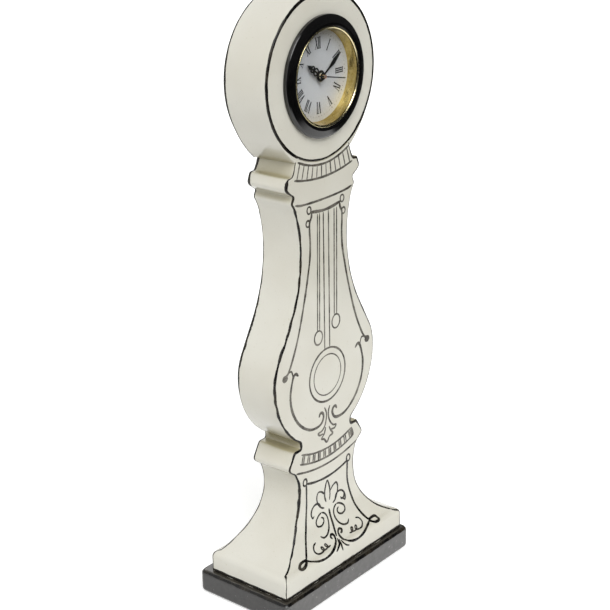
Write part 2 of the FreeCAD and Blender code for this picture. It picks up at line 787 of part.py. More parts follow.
def arbor():
    """A train arbor with a pivot at each end."""
    play = v.running_fit
    return [
        rod(v.arbor_radius, train_back + play, train_front - play),
        rod(v.pivot_radius, train_back - v.pivot_depth, train_front + v.pivot_depth),
    ]


def towards(start, end):
    return math.atan2(float(end[1] - start[1]), float(end[0] - start[0]))


def make_train():
    leaves, module = v.leaf_count, v.train_module
    fit = v.running_fit
    to_third = towards(centre_at, third_at)
    to_intermediate = towards(centre_at, intermediate_at)
    to_rotor = towards(intermediate_at, rotor_at)
    half_turn = math.pi
    wheel("centre_wheel", centre_at, [
        teeth(v.centre_teeth, module, centre_layer["wheel"], to_third, True),
    ], rod(v.minute_pipe + fit, centre_layer["leaves"][0], train_front))
    wheel("third_wheel", third_at, arbor() + [
        teeth(leaves, module, centre_layer["leaves"], to_third + half_turn, False),
        teeth(v.third_teeth, third_module, third_layer["wheel"], to_third + half_turn, True),
    ])
    wheel("second_wheel", centre_at, [
        rod(v.second_arbor, train_back - v.pivot_depth, second_hand_level + v.hand_thick),
        teeth(leaves, third_module, third_layer["leaves"], to_third, False),
        teeth(v.second_teeth, v.second_module, second_layer["wheel"], to_intermediate, True),
    ])
    wheel("intermediate_wheel", intermediate_at, arbor() + [
        teeth(leaves, v.second_module, second_layer["leaves"], to_intermediate + half_turn, False),
        teeth(v.intermediate_teeth, module, intermediate_layer["wheel"], to_rotor, True),
    ])
    wheel("rotor_pinion", rotor_at, arbor() + [
        teeth(leaves, module, intermediate_layer["leaves"], to_rotor + half_turn, False),
    ])
    magnet_middle = (core_back_level + stator_back) / 2
    magnet_low = magnet_middle - v.magnet_height / 2
    magnet_high = magnet_middle + v.magnet_height / 2
    wheel("rotor_magnet", rotor_at, [rod(v.magnet_radius, magnet_low, magnet_high)],
          rod(v.arbor_radius, magnet_low, magnet_high))


def make_motion_work():
    up = math.pi / 2
    fit = v.running_fit
    stub = centre_layer["wheel"][0] - fit
    pipe_top = minute_hand_level + v.hand_thick
    wheel("cannon_pinion", centre_at, [
        rod(v.minute_pipe, stub, pipe_top),
        teeth(v.cannon_leaves, v.motion_module, minute_layer["leaves"], up, False),
    ], rod(v.second_arbor + fit, stub, pipe_top))
    hour_top = hour_hand_level + v.hand_thick
    hour_low = hour_layer["wheel"][0]
    wheel("hour_wheel", centre_at, [
        rod(v.hour_pipe, hour_low, hour_top),
        teeth(v.hour_teeth, hour_module, hour_layer["wheel"], up, True),
    ], rod(v.minute_pipe + fit, hour_low, hour_top))
    wheel("minute_wheel", setting_at, [
        rod(v.setting_arbor, knob_low + v.knob_height / 4, hour_layer["leaves"][1]),
        teeth(v.minute_leaves, hour_module, hour_layer["leaves"], -up, False),
        teeth(v.minute_teeth, v.motion_module, minute_layer["wheel"], -up, True),
    ])


rail_back = cup_back - v.hatch_thick - v.hatch_play * 2 - v.rail_lip
knob_high = rail_back - v.knob_gap
knob_low = knob_high - v.knob_height


def make_knob():
    spot = Placement(Vector(0, float(setting_rise), 0), Rotation())
    body = new_body("setting_knob", clock_frame.multiply(spot))
    pad(body, [(0, 0, v.knob_radius)], knob_low, v.knob_height)
    pocket(body, [(0, 0, v.setting_arbor)], knob_low + v.knob_height / 4, v.knob_height)
    flute = v.knob_flute_depth * 2
    cut = pocket(body, [(v.knob_radius + v.knob_flute_depth, 0, flute)], knob_low, v.knob_height)
    ring = body.newObject("PartDesign::PolarPattern", "knob_flutes")
    ring.Originals = [cut]
    ring.Axis = ([f for f in body.Origin.OriginFeatures if f.Role == "Z_Axis"][0], [""])
    ring.Angle = 360
    bind(ring, "Occurrences", v.knob_flutes)
    body.Tip = ring


def make_hatch():
    body = new_body("battery_hatch", clock_frame)
    _, (left, low, right, high) = hatch_box()
    front = cup_back - v.hatch_play
    pad(body, [rectangle(left, low, right, high)], front - v.hatch_thick, v.hatch_thick)
    reach = right - v.rail_catch * 2
    ribs = []
    for k in range(4):
        level = high - v.rib_height * (3 + 3 * k)
        ribs.append(rectangle(-reach, level - v.rib_height, reach, level))
    pad(body, ribs, front - v.hatch_thick - v.rib_height, v.rib_height)


def make_motor():
    half = v.core_half_width
    left, right = v.coil_left, v.coil_right
    low, high = v.coil_rise - half, v.coil_rise + half
    reach = v.core_overlap
    core = new_body("coil_core", clock_frame)
    pad(core, [rectangle(left - reach, low, right + reach, high)], core_back_level, v.core_thick)

    along = clock_frame.multiply(Placement(
        Vector(float(left), float(v.coil_rise), float(core_front_level - v.core_thick / 2)),
        Rotation(Vector(0, 1, 0), 90)))
    winding = cylinder("winding_round", v.coil_radius, 0, right - left, along)
    slot = doc.addObject("Part::Box", "winding_slot")
    bind(slot, "Length", v.core_thick)
    bind(slot, "Width", 2 * half)
    bind(slot, "Height", right - left)
    slot.Placement = along.multiply(Placement(Vector(-float(v.core_thick) / 2, -float(half), 0), Rotation()))
    keep(boolean("Cut", "coil_winding", winding, slot), "coil_winding")

    air = v.magnet_radius + v.rotor_air
    rim = air + v.rotor_air * 3
    x, y = rotor_at
    clear = v.coil_rise - v.coil_radius - v.rotor_air
    stator = new_body("stator", clock_frame)
    pad(stator, [[
        (x - rim, y - air - v.rotor_air), (x + rim, y - air - v.rotor_air),
        (x + rim, y + air), (x + rim * 2, clear - v.core_half_width),
        (right + reach, clear - v.core_half_width), (right + reach, high),
        (right + v.rotor_air, high), (right + v.rotor_air, clear),
        (x + rim * 1.5, clear), (x + air, y + rim),
        (left - v.rotor_air, y + rim), (left - v.rotor_air, high),
        (left - reach, high), (x - rim, y + rim),
    ], rotor_at + (air,)], stator_back, v.stator_thick)


def make_electronics():
    board_back = train_front - v.board_thick
    board = new_body("circuit_board", clock_frame)
    pad(board, [rectangle(v.board_left, v.board_low, v.board_right, v.board_high)], board_back, v.board_thick)
    middle = (v.board_left + v.board_right) / 2
    half = v.chip_size / 2
    chip_at = v.board_high - v.chip_size
    chip = new_body("driver_chip", clock_frame)
    pad(chip, [rectangle(middle - half, chip_at - half, middle + half, chip_at + half)],
        board_back - v.chip_thick, v.chip_thick)
    spot = Vector(
        float(middle - v.crystal_length / 2),
        float(v.board_low + v.crystal_radius * 2.5),
        float(board_back - v.crystal_radius))
    along = clock_frame.multiply(Placement(spot, Rotation(Vector(0, 1, 0), 90)))
    keep(cylinder("quartz_crystal", v.crystal_radius, 0, v.crystal_length, along), "quartz_crystal")


def make_battery():
    spot = clock_frame.multiply(Placement(Vector(0, -float(v.cell_drop), 0), Rotation()))
    cell_front = cell_seat - v.contact_thick
    cell_back = cell_front - v.cell_height
    keep(cylinder("battery_cell", v.cell_radius, cell_back, v.cell_height, spot), "battery_cell")
    board_back = train_front - v.board_thick
    thick, width = v.contact_thick, v.contact_width
    leg = v.board_right - width / 2
    low = -v.cell_drop - width
    negative = new_body("negative_contact", clock_frame)
    pad(negative, [rectangle(leg, low, v.cell_radius / 2, low + width)], cell_front, thick)
    pad(negative, [rectangle(leg, low, leg + thick, low + width)], cell_seat, board_back - cell_seat)
    side = -v.cell_radius - v.running_fit
    high = -v.cell_drop + width
    positive = new_body("positive_contact", clock_frame)
    pad(positive, [rectangle(leg, high, side, high + width)], board_back - thick, thick)
    pad(positive, [rectangle(side - thick, high - width, side, high + width)],
        cell_front - v.cell_height / 2, board_back - thick - cell_front + v.cell_height / 2)


# Hands, drawn pointing at twelve and turned to the time shown

def hand_frame(turns):
    return clock_frame.multiply(Placement(Vector(), Rotation(Vector(0, 0, 1), -360 * turns)))


def make_hands():
    seconds = float(v.shown_second) / 60
    minutes = (float(v.shown_minute) + seconds) / 60
    hours = (float(v.shown_hour) + minutes) / 12
    thick = v.hand_thick
    pipe = v.hour_pipe
    long = v.hour_length
    hour = new_body("hour_hand", hand_frame(hours))
    pad(hour, [[
        (pipe * 0.4, pipe), (pipe * 0.3, long * 0.45), (pipe * 0.9, long * 0.5), (pipe * 1.3, long * 0.62),
        (pipe * 0.9, long * 0.74), (pipe * 0.25, long * 0.84), (0, long), (-pipe * 0.25, long * 0.84),
        (-pipe * 0.9, long * 0.74), (-pipe * 1.3, long * 0.62), (-pipe * 0.9, long * 0.5),
        (-pipe * 0.3, long * 0.45), (-pipe * 0.4, pipe),
    ]], hour_hand_level, thick)
    pad(hour, [(0, 0, pipe + v.hour_boss)], hour_hand_level, thick)
    pocket(hour, [(0, 0, pipe)], hour_hand_level, thick)

    pipe = v.minute_pipe
    long = v.minute_length
    minute = new_body("minute_hand", hand_frame(minutes))
    pad(minute, [[
        (pipe * 0.45, pipe), (pipe * 0.5, long * 0.4), (pipe * 1.5, long * 0.52), (0, long),
        (-pipe * 1.5, long * 0.52), (-pipe * 0.5, long * 0.4), (-pipe * 0.45, pipe),
    ]], minute_hand_level, thick)
    pad(minute, [(0, 0, pipe + v.hand_boss)], minute_hand_level, thick)
    pocket(minute, [(0, 0, pipe)], minute_hand_level, thick)

    pipe = v.second_arbor
    second = new_body("second_hand", hand_frame(seconds))
    half = pipe / 2
    pad(second, [[
        (half, -v.second_tail), (half / 2, v.second_length),
        (-half / 2, v.second_length), (-half, -v.second_tail),
    ]], second_hand_level, thick)
    pad(second, [(0, 0, pipe + v.hand_boss)], second_hand_level, thick + v.cap_height)
    pocket(second, [(0, 0, pipe)], second_hand_level, thick)


make_case()
make_plinth()
make_pads()
make_bezel()
make_lens()
make_dial()
make_cup()
make_grip_ring()
make_plates()
make_screws()
make_motor()
make_electronics()
make_battery()
make_train()
make_motion_work()
make_knob()
make_hatch()
make_hands()
doc.recompute()

for item in doc.Objects:
    if "Invalid" in item.State or "Error" in item.State:
        raise RuntimeError("%s did not build: %s" % (item.Label, item.State))
for item in kept:
    if item.Shape.isNull() or not item.Shape.isValid():
        raise RuntimeError("%s has no valid shape" % item.Label)

os.makedirs("parts", exist_ok=True)
for item in kept:
    item.Shape.exportStep("parts/%s.step" % item.Label)
    print("%-20s %2d solids %10.2f mm3" % (item.Label, len(item.Shape.Solids), item.Shape.Volume))
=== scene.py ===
import json
import math
from bisect import bisect
from functools import partial
from itertools import accumulate, product

import bmesh
import bpy
from mathutils import Matrix, Vector, noise


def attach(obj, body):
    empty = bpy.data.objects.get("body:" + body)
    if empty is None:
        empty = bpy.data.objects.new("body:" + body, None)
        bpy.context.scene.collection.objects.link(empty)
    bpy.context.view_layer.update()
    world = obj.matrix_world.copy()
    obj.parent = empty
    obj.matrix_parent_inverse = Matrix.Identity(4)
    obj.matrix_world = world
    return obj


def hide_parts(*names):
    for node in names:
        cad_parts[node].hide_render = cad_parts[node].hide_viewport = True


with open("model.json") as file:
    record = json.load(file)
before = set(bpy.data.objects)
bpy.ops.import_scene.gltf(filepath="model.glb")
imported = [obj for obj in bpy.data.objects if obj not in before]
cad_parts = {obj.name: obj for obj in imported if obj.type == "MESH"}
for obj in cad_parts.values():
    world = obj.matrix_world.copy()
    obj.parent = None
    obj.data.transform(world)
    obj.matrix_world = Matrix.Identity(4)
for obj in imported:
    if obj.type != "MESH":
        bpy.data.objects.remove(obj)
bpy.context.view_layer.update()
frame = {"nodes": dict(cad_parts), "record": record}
mm = 0.001
headZ = 270.87   # height of the dial's centre, in mm as all sizes below
headFront = -14.8   # the head's front plane, also the front of the body above the foot


# Colours and nodes

def srgb(hexText):
    parts = [int(hexText[i:i + 2], 16) / 255 for i in (1, 3, 5)]
    return (*(c / 12.92 if c <= 0.04045 else ((c + 0.055) / 1.055) ** 2.4 for c in parts), 1.0)


def addNode(tree, kind, inputs, output=0, **settings):
    node = tree.nodes.new("ShaderNode" + kind)
    for name, value in settings.items():
        setattr(node, name, value)
    for name, value in inputs.items():
        if isinstance(value, bpy.types.NodeSocket):
            tree.links.new(value, node.inputs[name])
        else:
            node.inputs[name].default_value = srgb(value) if isinstance(value, str) else value
    return node.outputs[output] if node.outputs else node


def scaleFor(size):
    return 1 / (size * mm)   # texture scale for a pattern of this size in mm


def startMaterial(name):
    material = bpy.data.materials.new(name)
    material.use_nodes = True
    material.node_tree.nodes.clear()
    add = partial(addNode, material.node_tree)
    return material, add, add("TexCoord", {}, "Object")


# Materials of the case

def creamGlazedEarthenware():
    # slip-cast earthenware under a poured cream glaze: a soft wide sheen and a faint ripple, and painted shade: a
    # darker olive wherever the case's own surfaces close round, in the hollows and under the head and mouldings
    material, add, where = startMaterial("creamGlazedEarthenware")
    pool = add("TexNoise", {"Vector": where, "Scale": scaleFor(38)})
    pool = add("MapRange", {"Value": pool, "From Min": 0.35, "From Max": 0.65})
    glaze = add("Mix", {0: pool, 6: "#dfddd2", 7: "#d9d6c9"}, 2, data_type="RGBA")
    speck = add("TexNoise", {"Vector": where, "Scale": scaleFor(1.1), "Detail": 3.0})
    speck = add("MapRange", {"Value": speck, "From Min": 0.66, "From Max": 0.78})
    glaze = add("Mix", {0: speck, 6: glaze, 7: "#cfcab8"}, 2, data_type="RGBA")
    # painted shade: ambient occlusion of the case alone darkens the glaze to olive in its hollows and creases
    hollow = add("AmbientOcclusion", {"Distance": 18 * mm}, "AO", samples=8, only_local=True)
    hollow = add("MapRange", {"Value": hollow, "From Min": 0.63, "From Max": 0.96})
    glaze = add("Mix", {0: hollow, 6: "#a39c7e", 7: glaze}, 2, data_type="RGBA")
    polish = add("TexNoise", {"Vector": where, "Scale": scaleFor(16)})
    polish = add("MapRange", {"Value": polish, "From Min": 0.3, "From Max": 0.7, "To Min": 0.17, "To Max": 0.26})
    ripple = add("TexNoise", {"Vector": where, "Scale": scaleFor(11), "Detail": 1.0})
    ripple = add("Bump", {"Height": ripple, "Strength": 0.12, "Distance": 0.35 * mm})
    add("OutputMaterial", {"Surface": add("BsdfPrincipled", {
        "Base Color": glaze, "Roughness": polish, "IOR": 1.5, "Coat Weight": 0.35, "Coat Roughness": 0.08,
        "Normal": ripple})})
    return material


def biscuitEarthenware():
    # the bare inside of the casting: chalky and slightly gritty
    material, add, where = startMaterial("biscuitEarthenware")
    grit = add("TexNoise", {"Vector": where, "Scale": scaleFor(0.9), "Detail": 4.0})
    clay = add("Mix", {0: grit, 6: "#cfc7b6", 7: "#ddd6c7"}, 2, data_type="RGBA")
    rough = add("Bump", {"Height": grit, "Strength": 0.3, "Distance": 0.1 * mm})
    add("OutputMaterial", {"Surface": add("BsdfPrincipled", {
        "Base Color": clay, "Roughness": 0.85, "IOR": 1.45, "Normal": rough})})
    return material


def brushedUnderglaze(name, paler, full):
    # ceramic colour put on with a brush under the glaze: darker where it pooled, browner where the brush ran dry
    material, add, where = startMaterial(name)
    load = add("TexNoise", {"Vector": where, "Scale": scaleFor(7), "Detail": 3.0})
    load = add("MapRange", {"Value": load, "From Min": 0.36, "From Max": 0.58})
    paint = add("Mix", {0: load, 6: paler, 7: full}, 2, data_type="RGBA")
    streak = add("TexNoise", {"Vector": where, "Scale": scaleFor(1.4)})
    gloss = add("MapRange", {"Value": streak, "From Min": 0.3, "From Max": 0.7, "To Min": 0.2, "To Max": 0.36})
    relief = add("Bump", {"Height": streak, "Strength": 0.2, "Distance": 0.05 * mm})
    add("OutputMaterial", {"Surface": add("BsdfPrincipled", {
        "Base Color": paint, "Roughness": gloss, "IOR": 1.5, "Specular IOR Level": 0.3, "Normal": relief})})
    return material


def blackGlazedStoneware():
    # black glaze brushed over coarse clay: the front and back faces are painted paler grey and the ends darker, as
    # painted light and shade, and a matt brown where it ran off the top ledge
    material, add, where = startMaterial("blackGlazedStoneware")
    mottle = add("TexNoise", {"Vector": where, "Scale": scaleFor(2.6), "Detail": 3.0})
    paler = add("Mix", {0: mottle, 6: "#515050", 7: "#6c6b6a"}, 2, data_type="RGBA")
    paintedShadeEnds = add("Mix", {0: mottle, 6: "#2b2a2a", 7: "#403f3e"}, 2, data_type="RGBA")
    dry = add("Mix", {0: mottle, 6: "#262420", 7: "#4a463e"}, 2, data_type="RGBA")
    # painted light and shade by facing: paler on the front and back faces, darker on the ends
    facing = add("TexCoord", {}, "Normal")
    front = add("SeparateXYZ", {"Vector": facing}, "Y")
    front = add("Math", {0: front}, operation="ABSOLUTE")
    front = add("MapRange", {"Value": front, "From Min": 0.4, "From Max": 0.9})
    glaze = add("Mix", {0: front, 6: paintedShadeEnds, 7: paler}, 2, data_type="RGBA")
    upwards = add("SeparateXYZ", {"Vector": facing}, "Z")
    ledge = add("MapRange", {"Value": upwards, "From Min": 0.7, "From Max": 0.95})
    glaze = add("Mix", {0: ledge, 6: glaze, 7: dry}, 2, data_type="RGBA")
    gloss = add("MapRange", {"Value": mottle, "From Min": 0.3, "From Max": 0.7, "To Min": 0.14, "To Max": 0.28})
    relief = add("Bump", {"Height": mottle, "Strength": 0.2, "Distance": 0.12 * mm})
    add("OutputMaterial", {"Surface": add("BsdfPrincipled", {
        "Base Color": glaze, "Roughness": gloss, "IOR": 1.5, "Normal": relief})})
    return material


# Materials of the insert

def grainedSolid(name, first, second, grain, rough, relief=0.1, depth=0.03, **more):
    # two close tones in a fine grain; the grain and its depth are in mm
    material, add, where = startMaterial(name)
    pattern = add("TexNoise", {"Vector": where, "Scale": scaleFor(grain), "Detail": 3.0})
    tone = add("MapRange", {"Value": pattern, "From Min": 0.35, "From Max": 0.65})
    tone = add("Mix", {0: tone, 6: first, 7: second}, 2, data_type="RGBA")
    polish = add("MapRange", {
        "Value": pattern, "From Min": 0.3, "From Max": 0.7, "To Min": rough[0], "To Max": rough[1]})
    bump = add("Bump", {"Height": pattern, "Strength": relief, "Distance": depth * mm})
    add("OutputMaterial", {"Surface": add("BsdfPrincipled", {
        "Base Color": tone, "Roughness": polish, "Normal": bump, **more})})
    return material


def acrylicWindow():
    # pressed clear acrylic: it lets the light through to the dial and keeps a thin gloss
    material, add, where = startMaterial("pressedClearAcrylic")
    polish = add("TexNoise", {"Vector": where, "Scale": scaleFor(14), "Detail": 1.0})
    polish = add("Bump", {"Height": polish, "Strength": 0.02, "Distance": 0.1 * mm})
    clear = add("BsdfPrincipled", {
        "Base Color": "#fbfdfd", "Roughness": 0.0, "IOR": 1.49, "Transmission Weight": 1.0, "Normal": polish})
    shadow = add("LightPath", {}, "Is Shadow Ray")
    through = add("BsdfTransparent", {})
    add("OutputMaterial", {"Surface": add("MixShader", {0: shadow, 1: clear, 2: through})})
    return material


def enamelledCopperWire():
    # a layer-wound coil: fine turns beside each other, drawn coarser than 0.05 mm wire so that they show
    material, add, where = startMaterial("enamelledCopperWire")
    turns = add("TexWave", {"Vector": where, "Scale": scaleFor(0.3) / 20, "Distortion": 0.4}, "Fac",
                bands_direction="X")
    copper = add("Mix", {0: turns, 6: "#7a3a1e", 7: "#c07a48"}, 2, data_type="RGBA")
    relief = add("Bump", {"Height": turns, "Strength": 0.5, "Distance": 0.05 * mm})
    add("OutputMaterial", {"Surface": add("BsdfPrincipled", {
        "Base Color": copper, "Metallic": 1.0, "Roughness": 0.32, "Normal": relief})})
    return material


cream = creamGlazedEarthenware()
biscuit = biscuitEarthenware()
blackLine = brushedUnderglaze("blackBrushedUnderglaze", "#2e2921", "#0b0a09")
greyLine = brushedUnderglaze("greyBrushedUnderglaze", "#77736a", "#4a463f")
inkLine = brushedUnderglaze("darkBrushedUnderglaze", "#3d3932", "#141210")
# stoved lacquer on spun metal: deep black with a quiet gloss
bezelLacquer = grainedSolid("stovedBlackLacquer", "#060606", "#0a090a", 3.0, (0.1, 0.16), 0.02, IOR=1.6)
# gilt and polished brass: a warm mirror with faint wipe marks
giltBrass = grainedSolid("polishedGiltBrass", "#d6bf7a", "#c8ad64", 1.6, (0.12, 0.24), 0.05, Metallic=1.0)
# pale gilt from a short bath: light gold that turns white where it catches the light
paleGilt = grainedSolid("palePolishedGilt", "#e6dcb6", "#dccf9c", 1.0, (0.18, 0.3), 0.05, Metallic=1.0)
# silvered and brushed sheet: an even pale grey with a soft sheen
silveredDial = grainedSolid("brushedSilveredSheet", "#d4d5d8", "#cacbce", 0.5, (0.38, 0.5), Metallic=0.15, IOR=1.5)
# pad-printed ink: flat dark grey, slightly broken at the edges
dialInk = grainedSolid("padPrintedInk", "#1d1c20", "#2c2b30", 0.4, (0.45, 0.55), IOR=1.5)
# lacquer on stamped brass: black with thin bright edges
handLacquer = grainedSolid("lacqueredBlackBrass", "#0c0c0d", "#161617", 0.6, (0.25, 0.35), IOR=1.5)
# rose gilt on a turned cap: a small pinkish spark
capGilt = grainedSolid("turnedRoseGilt", "#cfa58c", "#dbb9a4", 0.5, (0.25, 0.35), Metallic=1.0)
window = acrylicWindow()
plinthGlaze = blackGlazedStoneware()
slotMaterials = {
    "cream_glaze": cream, "black_glaze": plinthGlaze, "black_lacquer": bezelLacquer, "gilt": giltBrass,
    "clear_window": window, "silvered_dial": silveredDial, "black_hands": handLacquer,
    "copper_wire": enamelledCopperWire(),
    # moulded in a spark-eroded tool: a fine dull grain in the black
    "black_moulding": grainedSolid(
        "sparkGrainedBlackAbs", "#161617", "#1e1e20", 0.35, (0.5, 0.62), 0.25, 0.05, IOR=1.5),
    # pressed wool fibres: a soft black without any shine
    "felt": grainedSolid("pressedWoolFelt", "#1d1d1f", "#2c2c2e", 0.4, (0.9, 1.0), 0.8, 0.15, IOR=1.45),
    # moulded rubber: dull dark grey with a bloom
    "grip_rubber": grainedSolid("mouldedNitrileRubber", "#19191a", "#242425", 0.6, (0.7, 0.8), 0.2, IOR=1.5),
    # moulded white plastic: even and faintly glossy
    "white_moulding": grainedSolid("mouldedWhiteAbs", "#dcdad2", "#e4e2da", 0.5, (0.4, 0.5), IOR=1.5),
    # nickel plate on stamped steel: cool grey with soft reflections
    "steel": grainedSolid("nickelPlatedSteel", "#b9b9ba", "#a9a9ab", 0.5, (0.25, 0.4), Metallic=1.0),
    # screen-printed solder mask: dark green with an uneven gloss
    "green_board": grainedSolid("solderMaskedBoard", "#12502a", "#1b6236", 1.2, (0.3, 0.4), 0.15, IOR=1.5),
    # rolled spring brass: yellow with fine rolling marks
    "spring_brass": grainedSolid("rolledSpringBrass", "#d0b06a", "#c3a158", 0.7, (0.25, 0.35), Metallic=1.0),
    # moulded acetal: a milky ivory with a waxy sheen
    "wheel_resin": grainedSolid("mouldedAcetal", "#e2dcc8", "#d9d2bc", 0.6, (0.35, 0.45), 0.05, IOR=1.48),
    # pressed and sintered ferrite: dark grey and granular
    "magnet": grainedSolid("sinteredFerrite", "#3a3a3c", "#48484a", 0.3, (0.5, 0.65), 0.3, IOR=1.6),
}
for subpart in frame["record"]["subparts"]:
    node = frame["nodes"][subpart["node"]]
    node.data.materials.clear()
    node.data.materials.append(slotMaterials[subpart["material_slot"]])
print("materials:", len(bpy.data.materials))


# Mesh helpers, all in mm

def fullTurn(count):
    return [2 * math.pi * k / count for k in range(count)]


def addObject(name, data):
    made = bpy.data.objects.new(name, data)
    bpy.context.scene.collection.objects.link(made)
    return made


def shadeSmooth(work, mesh, sharpAngle):
    for face in work.faces:
        face.smooth = True
    for edge in work.edges:
        edge.smooth = edge.calc_face_angle(0.0) < math.radians(sharpAngle)
    work.to_mesh(mesh)
    work.free()


def meshPiece(name, points, faces, material, sharpAngle=40):
    mesh = bpy.data.meshes.new(name)
    mesh.from_pydata([Vector(p) * mm for p in points], [], faces)
    work = bmesh.new()
    work.from_mesh(mesh)
    bmesh.ops.recalc_face_normals(work, faces=work.faces)
    shadeSmooth(work, mesh, sharpAngle)
    mesh.materials.append(material)
    return addObject(name, mesh)


class Shape:
    # gathers the points and faces of one piece
    def __init__(self):
        self.points, self.faces = [], []

    def loft(self, rows, along=False):
        # closed rows of points joined by quads; along joins the last row to the first, or else both get a lid
        start, count = len(self.points), len(rows[0])
        self.points += [point for row in rows for point in row]
        for i in range(len(rows) if along else len(rows) - 1):
            low, high = start + i * count, start + (i + 1) % len(rows) * count
            self.faces += [[low + k, low + (k + 1) % count, high + (k + 1) % count, high + k] for k in range(count)]
        if not along:
            end = len(self.points)
            self.faces += [list(range(start, start + count)), list(range(end - count, end))]

    def mesh(self, name, material, *sharpAngle):
        return meshPiece(name, self.points, self.faces, material, *sharpAngle)


def evenNormals(piece):
    even = piece.modifiers.new("evenNormals", "WEIGHTED_NORMAL")
    even.keep_sharp = True
    return piece


def placePiece(piece, body, slot, *nodes):
    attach(piece, body)
    if nodes:
        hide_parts(*nodes)
    return piece


def softCorners(corners, steps=6):
    # a closed outline of (x, y, radius) corners with each corner rounded
    path = []
    for i, (x, y, radius) in enumerate(corners):
        here = Vector((x, y))
        before = (Vector(corners[i - 1][:2]) - here).normalized()
        after = (Vector(corners[(i + 1) % len(corners)][:2]) - here).normalized()
        if not radius:
            path.append((x, y))
            continue
        half = math.acos(max(-1, min(1, before.dot(after)))) / 2
        centre = here + (before + after).normalized() * radius / math.sin(half)
        start = here + before * radius / math.tan(half) - centre
        end = here + after * radius / math.tan(half) - centre
        first = math.atan2(start.y, start.x)
        turn = (math.atan2(end.y, end.x) - first + math.pi) % (2 * math.pi) - math.pi
        for k in range(steps + 1):
            angle = first + turn * k / steps
            path.append((centre.x + radius * math.cos(angle), centre.y + radius * math.sin(angle)))
    return path


def roundedRectangle(x, y, corner, steps):
    return softCorners([(x, -y, corner), (x, y, corner), (-x, y, corner), (-x, -y, corner)], steps)


def lathe(name, profile, material, segments=180):
    # turns a closed (radius, outwards) outline about the dial's axis
    points, faces, rings = [], [], []
    for radius, outwards in profile:
        y = headFront - outwards
        if radius < 1e-6:
            rings.append([len(points)])
            points.append((0, y, headZ))
            continue
        rings.append(range(len(points), len(points) + segments))
        for k in range(segments):
            turn = 2 * math.pi * (k + 0.5) / segments
            points.append((radius * math.sin(turn), y, headZ + radius * math.cos(turn)))
    for low, high in zip(rings, rings[1:] + rings[:1]):
        if len(low) == 1 and len(high) == 1:
            continue
        for k in range(segments):
            corners = [low[k % len(low)], low[(k + 1) % len(low)], high[(k + 1) % len(high)], high[k % len(high)]]
            faces.append(list(dict.fromkeys(corners)))
    return meshPiece(name, points, faces, material)


def boolean(piece, tool, operation):
    change = piece.modifiers.new("change", "BOOLEAN")
    change.operation = operation
    change.object = tool
    change.solver = "EXACT"
    change.material_mode = "TRANSFER"
    bpy.context.view_layer.update()
    made = bpy.data.meshes.new_from_object(piece.evaluated_get(bpy.context.evaluated_depsgraph_get()))
    piece.modifiers.clear()
    piece.data = made
    bpy.data.objects.remove(tool)


# Case: outline of the right half from the foot up, each point with the arc radius to the next one
# (above zero swells, below zero is hollow, zero is straight)

caseSizes = {
    "wall": 4.5, "edgeRound": 0.9, "step": 0.8, "softening": 2, "edgeSteps": 5,
    "frontHalf": 13.25, "backHalf": 11.25, "middleY": -1.55, "footTop": 60.5,
    "lipLevel": 22.0, "flareLevel": 25.0, "frontLevel": 51.0, "backLevel": 60.0, "footHalf": 25.3, "lipRound": 3.0,
    "headRadius": 40.75, "headDepth": 26.5, "boreRadius": 25.6, "accessRadius": 23.0, "recess": 8.0,
    "cheekFrom": 28.5, "cheekTo": 62.0, "cheekSwell": 3.5, "cheekFront": 0.75, "cheekSink": 0.03, "cheekInset": 5,
    "coreLow": 9.0, "coreFrom": 14.0, "coreRows": 113, "tuckBack": 2.5, "arcSteps": 24,
    "headSegments": 240, "hollowSegments": 119, "sharpAngle": 35, "boreRound": 0.25, "weld": 0.01,
}
caseOutline = [
    (48.9, 13.0, 0), (48.9, 22.0, 3.0), (45.9, 25.0, -37.94), (22.6, 60.0, -23.3), (25.0, 70.3, 0),
    (29.2, 73.6, 2.0), (30.2, 76.0, 0), (25.6, 83.6, 0), (20.6, 83.6, 0), (20.6, 87.0, 42.2),
    (40.1, 122.57, 27.0), (36.65, 135.77, 0), (28.1, 150.97, -76.2), (18.4, 188.17, -60.5), (20.5, 203.97, -24.0),
    (24.6, 213.57, 0), (22.9, 216.87, 0), (27.5, 219.87, 2.0), (28.5, 222.27, 0), (26.8, 226.67, 0),
    (23.6, 226.67, -24.0), (20.3, 235.15, 0),
]


def halfDepth(z, half, straightFrom):
    # half-depth of the case at a height: straight above, a hollow flare and a rounded lip at the foot
    c = caseSizes
    if z >= straightFrom:
        return half
    if z >= c["flareLevel"]:
        run = c["footHalf"] - c["lipRound"] - half
        rise = straightFrom - c["flareLevel"]
        radius = (run * run + rise * rise) / (2 * run)
        return half + radius - math.sqrt(radius ** 2 - (straightFrom - z) ** 2)
    over = max(0.0, z - c["lipLevel"])
    return c["footHalf"] - c["lipRound"] + math.sqrt(c["lipRound"] ** 2 - over ** 2)


def frontY(z):
    return caseSizes["middleY"] - halfDepth(z, caseSizes["frontHalf"], caseSizes["frontLevel"])


def backY(z):
    return caseSizes["middleY"] + halfDepth(z, caseSizes["backHalf"], caseSizes["backLevel"])


def outlinePath(rows, step):
    path = []
    for (x, z, bend), (nextX, nextZ, _) in zip(rows, rows[1:]):
        start, end = Vector((x, z)), Vector((nextX, nextZ))
        chord = end - start
        count = max(2, round(chord.length / step))
        for k in range(count):
            if not bend:
                path.append(start.lerp(end, k / count))
                continue
            outwards = Vector((chord.y, -chord.x)).normalized()
            drop = math.sqrt(bend * bend - chord.length_squared / 4)
            centre = (start + end) / 2 - outwards * math.copysign(drop, bend)
            turn = math.copysign(2 * math.asin(chord.length / 2 / abs(bend)), bend) * k / count
            path.append(centre + Matrix.Rotation(turn, 2) @ (start - centre))
    return path + [Vector(rows[-1][:2])]


def softened(path, passes):
    for _ in range(passes):
        inner = [(a + b * 2 + c) / 4 for a, b, c in zip(path, path[1:], path[2:])]
        path = path[:1] + inner + path[-1:]
    return path


